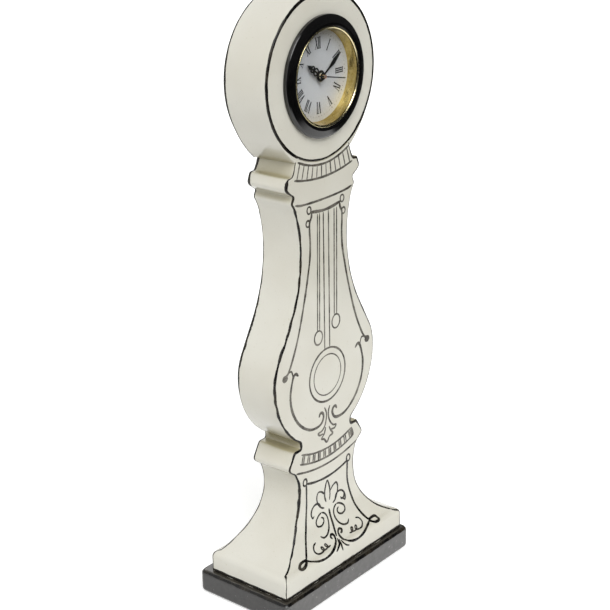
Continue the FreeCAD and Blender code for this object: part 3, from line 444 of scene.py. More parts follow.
def outwardNormals(path, closed=False):
    # to the right of the way along the path
    behind = (path[-1:] if closed else path[:1]) + path[:-1]
    ahead = path[1:] + (path[:1] if closed else path[-1:])
    return [Vector((b.y - a.y, a.x - b.x)).normalized() for a, b in zip(behind, ahead)]


def edgePoint(spot, outwards, faceAt, inwards, across, lift):
    # a point on the rounded edge of the case: across is measured round the edge, below zero on the face
    # and above zero on the side, and lift is the height above the surface
    radius = caseSizes["edgeRound"]
    quarter = radius * math.pi / 4
    angle = math.pi / 4 + max(-quarter, min(quarter, across)) / radius
    fromSide = radius - (radius + lift) * math.sin(angle) + max(0.0, -across - quarter)
    fromFace = radius - (radius + lift) * math.cos(angle) + max(0.0, across - quarter)
    x, z = spot - outwards * fromSide
    return (x, faceAt(z) + inwards * fromFace, z)


casePath = softened(outlinePath(caseOutline, caseSizes["step"]), caseSizes["softening"])
caseNormals = outwardNormals(casePath)


def buildCaseBody():
    c = caseSizes
    path = casePath + [Vector((19.8, 237.2)), Vector((19.4, 240.2))]   # the last two are inside the head
    normals = caseNormals + [Vector((1, 0))] * 2
    sunk = [0.0] * len(casePath) + [c["tuckBack"]] * 2   # how far the front stands back inside the head
    quarter = c["edgeRound"] * math.pi / 4
    turns = [quarter * (2 * k / c["edgeSteps"] - 1) for k in range(c["edgeSteps"] + 1)]
    points, faces, rows = [], [], []
    for spot, outwards, back in zip(path, normals, sunk):
        front = [edgePoint(spot, outwards, frontY, 1, a, 0) for a in turns]
        rear = [edgePoint(spot, outwards, backY, -1, a, 0) for a in reversed(turns)]
        right = [(x, y + back, z) for x, y, z in front] + rear
        rows.append((range(len(points), len(points) + len(right)),
                     range(len(points) + len(right), len(points) + 2 * len(right))))
        points += right + [(-x, y, z) for x, y, z in right]
    for low, high in zip(rows, rows[1:]):
        for side in (0, 1):
            for k in range(len(low[side]) - 1):
                faces.append([low[side][k], low[side][k + 1], high[side][k + 1], high[side][k]])
    footRows = sum(1 for spot in casePath if spot.y < c["footTop"])
    for low, high in zip(rows[:footRows], rows[1:footRows]):
        for k in (0, -1):
            faces.append([low[0][k], high[0][k], high[1][k], low[1][k]])
    faces.append(list(rows[0][0]) + list(reversed(rows[0][1])))
    faces.append(list(rows[-1][0]) + list(reversed(rows[-1][1])))
    faces.append([row[0][-1] for row in rows[footRows - 1:]] + [row[1][-1] for row in reversed(rows[footRows - 1:])])

    def headArc(row):
        # follows the head's circle from the right edge to the left one
        x, y, z = points[row[0][0]]
        reach = math.hypot(x, z - headZ)
        arc = [row[0][0]]
        for k in range(1, c["arcSteps"]):
            across = x * (1 - 2 * k / c["arcSteps"])
            arc.append(len(points))
            points.append((across, y, headZ - math.sqrt(reach * reach - across * across)))
        return arc + [row[1][0]]

    seen, hidden = headArc(rows[-3]), headArc(rows[-2])
    faces.append([row[0][0] for row in rows[footRows - 1:-3]] + seen
                 + [row[1][0] for row in reversed(rows[footRows - 1:-3])])
    for k in range(len(seen) - 1):
        faces.append([seen[k], seen[k + 1], hidden[k + 1], hidden[k]])
    faces.append(hidden + [rows[-1][1][0], rows[-1][0][0]])
    return meshPiece("caseBody", points, faces, cream)


def buildCore():
    # the hollow of the casting, one wall thickness inside the outline
    c = caseSizes
    core, rows = Shape(), []
    for z in [c["coreLow"]] + [c["coreFrom"] + 2 * k for k in range(c["coreRows"])]:
        near = [p for p in casePath if abs(p.y - z) < c["wall"]]
        half = min(p.x - math.sqrt(c["wall"] ** 2 - (p.y - z) ** 2) for p in near)
        level = max(z, c["coreFrom"]) + c["wall"]
        front, back = frontY(level) + c["wall"], backY(level) - c["wall"]
        rows.append([(half, front, z), (half, back, z), (-half, back, z), (-half, front, z)])
    core.loft(rows)
    return core.mesh("caseCore", biscuit)


def cheekAt(turn):
    # how far the head swells over its circle where it runs down into the collar, by the turn from the top
    c = caseSizes
    along = (c["cheekTo"] - math.degrees(abs(math.pi - turn))) / (c["cheekTo"] - c["cheekFrom"])
    return c["cheekSwell"] * along ** 1.6 if 0 < along <= 1 else 0.0


def buildHead(profile):
    # the swelling is fuller at the back of the head than at the front
    c = caseSizes
    piece = lathe("caseHead", profile, cream, c["headSegments"])
    for point in piece.data.vertices:
        x, z = point.co.x, point.co.z - headZ * mm
        reach = math.hypot(x, z)
        behind = (point.co.y / mm - headFront) / c["headDepth"]
        cheek = cheekAt(math.atan2(x, z) % (2 * math.pi)) * mm
        cheek *= c["cheekFront"] + (1 - c["cheekFront"]) * behind
        if cheek and reach > (c["boreRadius"] + c["cheekInset"]) * mm:
            point.co.x += x / reach * cheek
            point.co.z += z / reach * cheek
            point.co.y += c["cheekSink"] * mm
    return piece


def buildCase():
    c = caseSizes
    piece = buildCaseBody()
    depth, radius, wall, soft, recess = c["headDepth"], c["headRadius"], c["wall"], c["edgeRound"], c["recess"]
    head = softCorners([
        (0, -recess, 0), (c["boreRadius"], -recess, 0), (c["boreRadius"], 0, c["boreRound"]), (radius, 0, soft),
        (radius, -depth, soft), (c["accessRadius"], -depth, soft), (c["accessRadius"], recess - depth, 0),
        (0, recess - depth, 0)], c["edgeSteps"])
    boolean(piece, buildHead(head), "UNION")
    boolean(piece, buildCore(), "DIFFERENCE")
    hollow = [(0, -wall), (radius - wall, -wall), (radius - wall, wall - depth), (0, wall - depth)]
    boolean(piece, lathe("headHollow", hollow, biscuit, c["hollowSegments"]), "DIFFERENCE")
    work = bmesh.new()
    work.from_mesh(piece.data)
    bmesh.ops.dissolve_degenerate(work, dist=c["weld"] * mm, edges=work.edges)
    shadeSmooth(work, piece.data, c["sharpAngle"])
    return placePiece(evenNormals(piece), "case", "cream_glaze", "case_body")


caseBody = buildCase()
print("case:", len(caseBody.data.vertices), "points")


# Plinth and pads

plinthSizes = {"width": 104.6, "depth": 59.6, "low": 0.5, "high": 13.0, "corner": 3.0, "arris": 2.2, "arrisSteps": 6,
               "cornerLeast": 0.3, "cornerLoss": 0.5, "cornerSteps": 8, "padRadius": 5.0, "padInset": 11.0,
               "padHigh": 1.3, "padRounds": (0.4, 0.2), "padSegments": 48, "fray": 0.012}


def rectangleRing(inset, level):
    p = plinthSizes
    x, y = p["width"] / 2 - inset, p["depth"] / 2 - inset
    corner = max(p["cornerLeast"], p["corner"] - inset * p["cornerLoss"])
    return [(*spot, level) for spot in roundedRectangle(x, y, corner, p["cornerSteps"])]


def buildPlinth():
    p = plinthSizes
    slab, arris = Shape(), p["arris"]
    turns = [math.pi / 2 * k / p["arrisSteps"] for k in range(p["arrisSteps"] + 1)]
    lower = [rectangleRing(arris * (1 - math.sin(t)), p["low"] + arris * (1 - math.cos(t))) for t in turns]
    upper = [rectangleRing(arris * (1 - math.cos(t)), p["high"] - arris * (1 - math.sin(t))) for t in turns]
    slab.loft(lower + upper)
    placePiece(evenNormals(slab.mesh("plinthSlab", plinthGlaze)), "case", "black_glaze", "plinth")


def buildPads():
    p = plinthSizes
    pads = Shape()
    low, high = p["padRounds"]
    section = softCorners([(0, 0, 0), (p["padRadius"], 0, low), (p["padRadius"], p["padHigh"], high),
                           (0, p["padHigh"], 0)], 4)
    turns = fullTurn(p["padSegments"])
    for right, rear in product((-1, 1), (-1, 1)):
        x, y = right * (p["width"] / 2 - p["padInset"]), rear * (p["depth"] / 2 - p["padInset"])
        edge = []
        for t in turns:
            fray = 1 + p["fray"] * noise.noise((5 * math.cos(t), 5 * math.sin(t), right + 3 * rear))
            edge.append((fray * math.cos(t), fray * math.sin(t)))
        pads.loft([[(x + radius * across, y + radius * deep, level) for across, deep in edge]
                   for radius, level in section[1:-1]])
    placePiece(pads.mesh("feltPads", slotMaterials["felt"]), "case", "felt", "felt_pads")


buildPlinth()
buildPads()
print("plinth and pads done")


# Brush strokes: closed, slightly raised bands of colour that follow the surface under them

strokeSection = [(-1, -0.12), (-1, 0.0), (-0.75, 0.045), (-0.4, 0.065), (0, 0.07), (0.4, 0.065), (0.75, 0.045),
                 (1, 0.0), (1, -0.12)]
strokeLook = {"tipRun": 2.5, "slopeReach": (-0.3, 0.3), "waver": 0.22, "edgeWaver": 0.21, "sharpAngle": 60}


def smoothPath(points, step, closed=False):
    # a Catmull-Rom line through the points
    knots = [Vector(p) for p in points]
    last = len(knots)
    path = []
    for i in range(last if closed else last - 1):
        before = knots[i - 1] if closed or i else knots[0] * 2 - knots[1]
        after = knots[(i + 2) % last] if closed or i + 2 < last else knots[-1] * 2 - knots[-2]
        a, b = knots[i], knots[(i + 1) % last]
        count = max(2, round((b - a).length / step))
        for k in range(count):
            t = k / count
            path.append((a * 2 + (b - before) * t + (before * 2 - a * 5 + b * 4 - after) * t * t
                         + (a * 3 - before - b * 3 + after) * t ** 3) / 2)
    return path if closed else path + [knots[-1]]


def frontProfile():
    # the front of the case from the foot up as rows of (run, y, z), with the run measured along the surface
    rows = []
    for spot, outwards in zip(casePath, caseNormals):
        z = (spot - outwards * caseSizes["edgeRound"]).y
        y = frontY(z)
        if not rows:
            rows.append((0.0, y, z))
        elif z > rows[-1][2]:
            run, lastY, lastZ = rows[-1]
            rows.append((run + math.hypot(y - lastY, z - lastZ), y, z))
    return rows


def rowAt(rows, column, value):
    # the row at a value of one column, on straight lines between the rows
    k = max(1, min(len(rows) - 1, bisect(rows, value, key=lambda row: row[column])))
    low, high = rows[k - 1], rows[k]
    share = (value - low[column]) / (high[column] - low[column])
    return [a + (b - a) * share for a, b in zip(low, high)]


frontRows = frontProfile()


class Brush(Shape):
    # strokes of one colour on the case: shift moves them to the right, and step is the length of their pieces
    def __init__(self, name, material, shift=0.0, step=0.7):
        super().__init__()
        self.name, self.material, self.shift, self.step, self.strokes = name, material, shift, step, 0

    def band(self, surfaces, widths, closed=False):
        # surfaces are functions of (across, lift), one for each step along the stroke
        self.loft([[place(u * width / 2, lift) for u, lift in strokeSection]
                   for place, width in zip(surfaces, widths)], closed)
        self.strokes += 1

    def widthsAlong(self, path, width, taper, uneven, closed):
        runs = list(accumulate([0] + [(b - a).length for a, b in zip(path, path[1:])]))
        look, widths = strokeLook, []
        for run in runs:
            ends = 1 if closed else min(1, taper + min(run, runs[-1] - run) / look["tipRun"])
            wander = noise.noise((run * look["waver"], self.strokes * 7.3, 1.7))
            wander += 0.5 * noise.noise((run, self.strokes, 5.1))
            widths.append(width * ends * (1 + uneven * wander))
        return widths

    def draw(self, points, width, closed=False, taper=0.5, uneven=0.25):
        # a stroke on the front of the case through (x, z) points
        path = smoothPath([(x + self.shift, rowAt(frontRows, 2, z)[0]) for x, z in points], self.step, closed)

        def surface(spot, right):
            def place(across, lift):
                x, run = spot - right * across
                _, y, z = rowAt(frontRows, 0, run)
                under, over = [rowAt(frontRows, 0, run + reach) for reach in strokeLook["slopeReach"]]
                normal = Vector((0, under[2] - over[2], over[1] - under[1])).normalized()
                return Vector((x, y, z)) + normal * lift
            return place

        surfaces = [surface(*row) for row in zip(path, outwardNormals(path, closed))]
        self.band(surfaces, self.widthsAlong(path, width, taper, uneven, closed), closed)

    def drawBoth(self, points, width, **look):
        self.draw(points, width, **look)
        self.draw([(-x, z) for x, z in points], width, **look)

    def hatch(self, top, bottom, places, width):
        # short strokes between two smiles, at places from -1 at the left end to 1 at the right
        for place in places:
            ends = [(half * place, level + sag * place * place) for half, sag, level in (top, bottom)]
            self.draw(ends, width, uneven=0.35)

    def edge(self, path, normals, faceAt, inwards, line, side=1, closed=False, insets=None):
        # a line along a rounded edge of the case; the line's middle wanders as the hand did
        def surface(spot, outwards, inset):
            middle = line["middle"] + line["lean"] * outwards.x - inset
            scale = strokeLook["edgeWaver"]
            middle += line["wander"] * noise.noise((spot.x * scale, spot.y * scale, 3.3 * self.strokes))

            def place(across, lift):
                x, y, z = edgePoint(spot, outwards, faceAt, inwards, middle + across, lift)
                return (side * x, y, z)
            return place

        surfaces = [surface(*row) for row in zip(path, normals, insets or [0.0] * len(path))]
        widths = self.widthsAlong(path, line["width"], 0.5, line["uneven"], closed)
        low, high = line["load"][0][0], line["load"][-1][0]
        loads = [rowAt(line["load"], 0, max(low, min(high, spot.y)))[1] for spot in path]
        self.band(surfaces, [width * load for width, load in zip(widths, loads)], closed)

    def piece(self):
        print(self.name + ":", self.strokes, "strokes")
        placePiece(self.mesh(self.name, self.material, strokeLook["sharpAngle"]), "case", "black_glaze")


def ringPoints(x, z, radius, height=None, count=10):
    return [(x + radius * math.sin(t), z + (height or radius) * math.cos(t)) for t in fullTurn(count)]


# Painted edges of the case: middle is below zero on the face and above zero on the side, lean moves it on the
# right of the head, and load is the fullness of the brush at each height

edgeLines = {
    "frontLeft": {"width": 1.25, "middle": 0.0, "lean": 0, "uneven": 0.55, "wander": 0.4, "load": [
        (13, 0.4), (24, 0.4), (34, 0.8), (52, 1.4), (66, 1.3), (70, 0.9), (84, 1.1), (100, 1.05), (128, 1.2),
        (150, 1.0), (200, 0.9), (213, 1.0), (218, 0.9), (221, 1.8), (224, 1.3), (227, 0.4), (236, 0.35)]},
    "frontRight": {"width": 1.1, "middle": -0.55, "lean": 0, "uneven": 0.5, "wander": 0.2, "load": [
        (13, 0.5), (24, 0.7), (30, 0.6), (60, 0.7), (70, 0.5), (76, 0.6), (83, 1.5), (90, 0.4), (120, 0.35),
        (135, 0.7), (160, 0.9), (185, 0.3), (213, 0.4), (222, 0.6), (226, 1.5), (236, 0.4)]},
    "back": {"width": 0.9, "middle": 0.5, "lean": 0, "uneven": 0.5, "wander": 0.2, "load": [
        (13, 0.9), (40, 0.8), (60, 0.5), (70, 0.8), (76, 1.5), (84, 0.8), (88, 0.25), (112, 0.3), (120, 1.2),
        (130, 2.6), (150, 2.3), (165, 1.4), (180, 0.6), (200, 0.5), (212, 1.0), (216, 1.4), (220, 3.0), (223, 3.0),
        (227, 2.2), (233, 2.8)]},
    "headFront": {"width": 1.6, "middle": -0.55, "lean": -0.45, "uneven": 0.2, "wander": 0.15, "load": [
        (231, 0.8), (240, 1.0), (312, 1.0)]},
    "headBack": {"width": 1.5, "middle": 0.65, "lean": 0, "uneven": 0.3, "wander": 0.15, "load": [
        (231, 0.4), (250, 0.55), (262, 1.0), (275, 1.15), (290, 0.8), (312, 0.6)]},
}
headTurns = 260


def paintEdges():
    brush = Brush("paintedEdges", blackLine)
    c = caseSizes
    brush.edge(casePath, caseNormals, frontY, 1, edgeLines["frontLeft"], -1)
    brush.edge(casePath, caseNormals, frontY, 1, edgeLines["frontRight"])
    for side in (1, -1):
        brush.edge(casePath, caseNormals, backY, -1, edgeLines["back"], side)
    turns = fullTurn(headTurns)
    outwards = [Vector((math.sin(t), math.cos(t))) for t in turns]
    cheeks = [cheekAt(t) for t in turns]
    before = [cheek * c["cheekFront"] for cheek in cheeks]
    front, back = [[Vector((0, headZ)) + out * (c["headRadius"] + cheek) for out, cheek in zip(outwards, swells)]
                   for swells in (before, cheeks)]
    headBack = headFront + c["headDepth"]
    brush.edge(front, outwards, lambda z: headFront, 1, edgeLines["headFront"], 1, True, before)
    brush.edge(back, outwards, lambda z: headBack, -1, edgeLines["headBack"], 1, True)
    brush.piece()


paintEdges()


# Drawing on the front of the body; the brush work stands a little to the right of the middle

bodyDrawing = {"shift": 1.2, "fine": 0.95, "bold": 1.4}
collarDrawing = {"fine": 0.85, "bold": 1.15, "flutes": 12}
dentilDrawing = {"shift": 0.2, "fine": 1.1, "bold": 1.15, "strokes": 20, "pairing": 0.2}
footDrawing = {"shift": -0.1, "fine": 1.08, "bold": 1.35, "step": 0.35}


def smile(half, sag, level, count=7):
    # a line that hangs like a shallow smile
    return [(half * (2 * k / count - 1), level + sag * (2 * k / count - 1) ** 2) for k in range(count + 1)]


def paintCollar():
    fine, bold, flutes = collarDrawing["fine"], collarDrawing["bold"], collarDrawing["flutes"]
    brush = Brush("collarDrawing", greyLine)
    top, bottom = (19.6, 4.7, 228.5), (22.4, 2.9, 222.0)
    brush.draw(smile(*top), bold)
    brush.draw(smile(*bottom), bold)
    brush.hatch(top, bottom, [2 * (k + 0.5) / flutes - 1 for k in range(flutes)], fine)
    brush.draw([(-22.0, 212.6), (-17.8, 211.6), (-10.2, 211.1), (0, 210.9), (10.2, 211.1), (17.8, 211.6),
                (22.0, 212.5)], bold)
    brush.piece()


def paintPanel(shift, fine, bold):
    brush = Brush("panelDrawing", greyLine, shift)
    brush.draw([(-11.6, 206.5), (-5, 205.5), (0, 205.2), (5, 205.5), (11.6, 206.5)], bold * 1.15)
    brush.drawBoth([(10.9, 206.6), (11.2, 203.9), (12.6, 201.2), (12.7, 196.7), (12.4, 192.1), (12.5, 186.9),
                    (13.0, 181.7), (14.8, 173.3), (16.7, 165.3), (19.2, 156.3), (21.5, 148.7), (24.2, 141.3),
                    (27.2, 134.7), (29.9, 129.8), (32.4, 126.9)], bold)
    for side in (-1, 1):
        brush.draw(ringPoints(side * 12.9, 207.7, 1.5, 1.8), fine, True)
        brush.draw(ringPoints(side * 13.9, 201.2, 1.4, 1.6), fine, True)
        brush.draw(ringPoints(side * 33.2, 126.4, 1.5, 1.2), bold, True)
    brush.drawBoth([(31.8, 128.4), (33.4, 126.6), (34.0, 124.6)], 2.0, taper=0.3)
    brush.drawBoth([(30.4, 128.5), (28.6, 128.9), (27.6, 127.2), (27.2, 124.9)], fine)
    brush.piece()


def paintPendulum(shift, fine):
    brush = Brush("pendulumDrawing", greyLine, shift)
    brush.drawBoth([(2.0, 204.3), (2.0, 180.3), (2.0, 156.3), (2.0, 132.0)], fine)
    for top, foot in (((-4.9, 204.5), (-5.9, 143.5)), ((-6.5, 204.5), (-7.6, 143.3)),
                      ((6.5, 204.3), (5.9, 148.3)), ((8.5, 204.3), (7.9, 148.1))):
        brush.draw([top, ((top[0] + foot[0]) / 2, (top[1] + foot[1]) / 2), foot], fine * 0.9)
    brush.draw(ringPoints(-6.9, 139.7, 3.2, 3.7, 14), fine, True)
    brush.draw(ringPoints(7.2, 144.5, 3.2, 3.7, 14), fine, True)
    brush.draw(ringPoints(0, 117.5, 14.4, None, 24), fine * 1.15, True)
    brush.draw(ringPoints(0, 117.5, 10.9, None, 24), fine * 0.7, True)
    brush.piece()


def paintScrolls(shift, fine, bold):
    brush = Brush("scrollDrawing", greyLine, shift)
    brush.drawBoth([(23.0, 124.6), (25.0, 126.3), (26.6, 125.7), (28.1, 122.2), (29.4, 116.6), (29.3, 111.5),
                    (28.0, 106.3), (25.3, 101.0), (21.9, 96.8), (17.4, 93.3), (13.0, 91.4), (8.2, 91.1),
                    (5.1, 92.3), (3.6, 95.1), (4.3, 97.5), (6.2, 97.9), (7.3, 96.1)], bold * 1.15)
    # pendant: a leaf on each side and a pointed one in the middle
    for leaf in ([(-2.8, 100.1), (-1.4, 97.0), (-1.3, 94.2), (-2.5, 90.1), (-5.0, 87.7), (-8.2, 87.3), (-6.9, 85.8),
                  (-4.1, 85.7)],
                 [(1.7, 99.8), (0.5, 97.5), (0.4, 94.1), (1.6, 90.8), (4.1, 87.9), (6.6, 87.2), (5.3, 85.7),
                  (2.2, 86.0)],
                 [(-2.1, 88.8), (-3.0, 85.8), (-5.5, 83.3), (-3.5, 82.5), (-1.1, 80.0), (1.1, 82.5), (3.8, 83.1),
                  (1.9, 85.9), (0.7, 88.3)]):
        brush.draw(leaf, fine * 1.15)
    brush.piece()


def paintDentils():
    d = dentilDrawing
    brush = Brush("dentilDrawing", greyLine, d["shift"])
    top, bottom = (20.8, 4.0, 76.5), (22.2, 4.0, 71.6)
    for line in (top, bottom, (25.0, 3.8, 67.6)):
        brush.draw(smile(*line), d["bold"])
    places = [k + 0.5 + d["pairing"] * (-1 if k % 2 else 1) for k in range(d["strokes"])]   # they stand in pairs
    brush.hatch(top, bottom, [2 * place / d["strokes"] - 1 for place in places], d["fine"])
    brush.draw([(20.6, 80.1), (21.9, 75.3)], 2.0)   # the full brush at the right end
    brush.piece()


def paintFoot():
    fine, bold = footDrawing["fine"], footDrawing["bold"]
    brush = Brush("footDrawing", inkLine, footDrawing["shift"], footDrawing["step"])
    # the frame's top and sides, the scrolls under it and the loops at its corners
    for line in (smile(17.0, 2.6, 60.0),
                 [(-17.1, 62.7), (-17.0, 58.4), (-17.3, 48.9), (-19.5, 40.5), (-22.0, 35.1), (-25.1, 29.7),
                  (-27.9, 26.1)],
                 [(17.1, 62.7), (16.9, 53.3), (17.8, 47.7), (19.0, 41.5), (20.2, 36.2), (22.2, 31.3), (24.3, 27.8),
                  (25.9, 26.1)],
                 [(-28.0, 26.0), (-25.6, 24.9), (-21.8, 23.8), (-16.3, 23.1), (-11.3, 23.7), (-6.8, 24.8),
                  (-3.6, 26.0), (-2.7, 27.8), (-3.1, 29.3), (-4.6, 29.7), (-5.4, 28.8), (-4.7, 27.7)],
                 [(25.3, 25.8), (21.2, 24.8), (15.2, 23.3), (10.0, 22.7), (4.8, 23.8), (2.3, 25.0), (0.9, 27.1),
                  (1.0, 29.1), (2.5, 30.1), (4.1, 29.3), (3.4, 28.3), (2.2, 28.1)]):
        brush.draw(line, bold)
    for loop in ([(-28.0, 26.0), (-30.2, 26.3), (-32.9, 26.0), (-34.6, 25.1), (-35.2, 24.7), (-33.2, 24.5),
                  (-30.2, 24.9)],
                 [(25.7, 26.2), (28.3, 26.6), (30.9, 26.3), (31.8, 25.0), (30.7, 24.5), (28.1, 24.6), (26.9, 25.0)]):
        brush.draw(loop, bold * 1.2, True)
    for side in (-1, 1):
        brush.draw(ringPoints(side * 18.0, 63.9, 1.5, 1.9), fine, True)
    # palmette: a tall middle leaf, then leaves that curl over to the sides
    brush.draw([(-1.4, 45.9), (-2.2, 49.1), (-1.8, 53.7), (0, 57.7), (1.8, 53.7), (2.2, 49.1), (1.4, 45.9)], fine)
    for leaf in ([(2.4, 50.7), (4.6, 52.9), (7.4, 53.7), (8.7, 51.3), (8.2, 47.7), (5.9, 44.5), (3.6, 43.3)],
                 [(5.7, 44.3), (7.4, 47.1), (10.2, 47.8), (12.8, 46.5), (14.2, 43.9), (13.6, 41.6), (12.2, 42.3)]):
        brush.drawBoth(leaf, fine)
    brush.draw([(13.4, 44.9), (12.8, 43.0), (10.9, 43.0), (10.6, 44.2)], fine)
    # stem, the scrolls beside it, the small loops and the leaves at its foot
    brush.draw([(-0.1, 41.7), (-0.2, 37.6), (-0.3, 33.0), (-1.3, 27.8)], bold)
    for scroll in ([(6.2, 41.9), (4.1, 40.7), (2.8, 38.5), (2.9, 35.5), (4.4, 32.5), (7.0, 30.6), (10.0, 30.2),
                    (12.0, 31.6)],
                   [(6.4, 41.9), (9.0, 41.1), (11.7, 38.9), (11.5, 36.5), (8.6, 35.7), (6.2, 36.9), (5.9, 38.7),
                    (7.4, 39.7)]):
        brush.drawBoth(scroll, fine)
    brush.drawBoth([(16.8, 30.4), (19.2, 29.4), (20.2, 27.2), (18.2, 25.4), (15.0, 25.3), (13.4, 26.0), (14.0, 27.2),
                    (15.0, 27.2), (14.2, 25.8), (11.6, 25.6), (10.2, 26.4), (10.9, 27.6), (11.8, 27.2),
                    (10.4, 25.9), (8.0, 25.9)], fine * 0.9)
    for leaf in ([(-1.4, 26.9), (-2.2, 25.0), (-4.8, 24.2), (-7.5, 22.9)],
                 [(-0.4, 26.1), (-1.5, 24.9), (-2.6, 23.4), (-2.2, 21.5)],
                 [(0.3, 25.4), (0.0, 24.4), (1.1, 23.2), (3.3, 22.1)]):
        brush.draw(leaf, fine)
    brush.piece()


paintCollar()
paintPanel(**bodyDrawing)
paintPendulum(bodyDrawing["shift"], bodyDrawing["fine"])
paintScrolls(**bodyDrawing)
paintDentils()
paintFoot()


# Bands of black round the foot and the plinth's arris

bandSizes = {"foot": 1.7, "arris": 1.5, "footUneven": 0.35, "arrisUneven": 0.4, "step": 1.5, "cornerSteps": 5}


def paintBands():
    brush = Brush("plinthBands", blackLine)
    b, c, p = bandSizes, caseSizes, plinthSizes

    def around(half, deep, middleY, corner):
        flat = [Vector(spot) for spot in roundedRectangle(half, deep, corner, b["cornerSteps"])]
        path = []
        for start, end in zip(flat, flat[1:] + flat[:1]):
            count = max(1, round((end - start).length / b["step"]))
            path += [start.lerp(end, k / count) + Vector((0, middleY)) for k in range(count)]
        return path

    def ring(path, level, lean, width, uneven):
        def surface(spot, outwards):
            def place(across, lift):
                x, y = spot + outwards * (lift * math.cos(lean) - across * math.sin(lean))
                return (x, y, level + across * math.cos(lean) + lift * math.sin(lean))
            return place

        surfaces = [surface(*row) for row in zip(path, outwardNormals(path, True))]
        brush.band(surfaces, brush.widthsAlong(path, width, 1, uneven, True), True)

    foot = around(casePath[0].x, c["footHalf"], c["middleY"], c["edgeRound"])
    ring(foot, p["high"] + b["foot"] / 2, 0.0, b["foot"], b["footUneven"])
    inset = p["arris"] * (1 - math.cos(math.pi / 4))
    rim = around(p["width"] / 2 - inset, p["depth"] / 2 - inset, 0.0, p["corner"] - inset * p["cornerLoss"])
    ring(rim, p["high"] - inset, math.pi / 4, b["arris"], b["arrisUneven"])
    brush.piece()


paintBands()


# Clock insert: bezel, liner, window, reflector and dial, as (radius, outwards) outlines

insertSizes = {"bezelRadius": 29.3, "windowRadius": 22.8, "lensRadius": 24.2, "lensSeat": 2.05, "lensRim": 3.25,
               "lensPlay": 0.05, "linerTop": 3.65, "linerRadius": 23.8, "dialFront": -3.2, "dialView": 21.8,
               "dialBack": -3.7, "dialHole": 1.7, "skirt": 23.3, "cupRim": 1.2, "cupRadius": 24.5}


def buildInsert():
    s = insertSizes
    bezel = softCorners([
        (s["cupRadius"], 0.1, 0), (s["bezelRadius"], 0.1, 0.3), (s["bezelRadius"], 2.1, 0.7),
        (28.3, 2.8, 0.8), (25.3, 3.75, 0.6), (24.4, 3.6, 0.3), (s["linerRadius"], 3.4, 0.1),
        (s["linerRadius"], s["lensRim"], 0), (s["lensRadius"], s["lensRim"], 0), (s["lensRadius"], s["cupRim"], 0),
        (s["cupRadius"], s["cupRim"], 0)])
    placePiece(lathe("bezelRing", bezel, bezelLacquer), "insert", "black_lacquer", "bezel")
    liner = softCorners([(s["windowRadius"], s["lensRim"], 0), (s["linerRadius"], s["lensRim"], 0),
                         (s["linerRadius"], s["linerTop"], 0.2), (23.2, s["linerTop"], 0.12)], 4)
    placePiece(lathe("bezelLiner", liner, paleGilt), "insert", "gilt", "bezel_liner")
    rim, under = s["lensRim"] - s["lensPlay"], s["lensSeat"] + s["lensPlay"]
    dome = [(s["lensRadius"] - s["lensPlay"], under), (s["lensRadius"] - s["lensPlay"], rim)]
    dome += [(22.5 * (1 - k / 8), rim + 0.5 * (1 - (1 - k / 8) ** 2)) for k in range(9)]
    placePiece(lathe("windowLens", dome + [(0, under)], window), "insert", "clear_window", "lens")
    cone = [(s["dialView"], s["dialFront"]), (s["skirt"], s["dialFront"]), (s["skirt"], s["cupRim"]),
            (s["lensRadius"], s["cupRim"]), (s["lensRadius"], s["lensSeat"]), (s["windowRadius"], s["lensSeat"])]
    cone += [(22.72, 1.6), (22.3, -0.6), (21.98, -2.6)]   # slightly hollow inside
    placePiece(lathe("reflectorCone", cone, giltBrass), "insert", "gilt", "reflector_ring")
    plate = softCorners([(s["dialHole"], s["dialFront"], 0.1), (s["skirt"], s["dialFront"], 0.1),
                         (s["skirt"], s["dialBack"], 0), (s["dialHole"], s["dialBack"], 0)], 2)
    placePiece(lathe("dialPlate", plate, silveredDial), "insert", "silvered_dial", "dial")


buildInsert()
print("insert done")


# Dial printing: Roman hours that stand on the centre, and a minute track of dots

dialPrinting = {"middleRadius": 15.3, "height": 5.4, "stem": 0.62, "hair": 0.28, "serif": 1.0, "thick": 0.04,
                "inset": 0.4, "trackRadius": 19.5, "dot": 0.16, "hourDot": 0.27}
romanHours = ["XII", "I", "II", "III", "IV", "V", "VI", "VII", "VIII", "IX", "X", "XI"]
letterWidths = {"I": 0.95, "V": 2.3, "X": 2.3}


def dialPoint(x, up, turn, lift):
    # a point of a figure that is drawn upright above the centre, turned clockwise to its hour
    across = x * math.cos(turn) + up * math.sin(turn)
    rise = up * math.cos(turn) - x * math.sin(turn)
    return (across, headFront - insertSizes["dialFront"] - lift, headZ + rise)


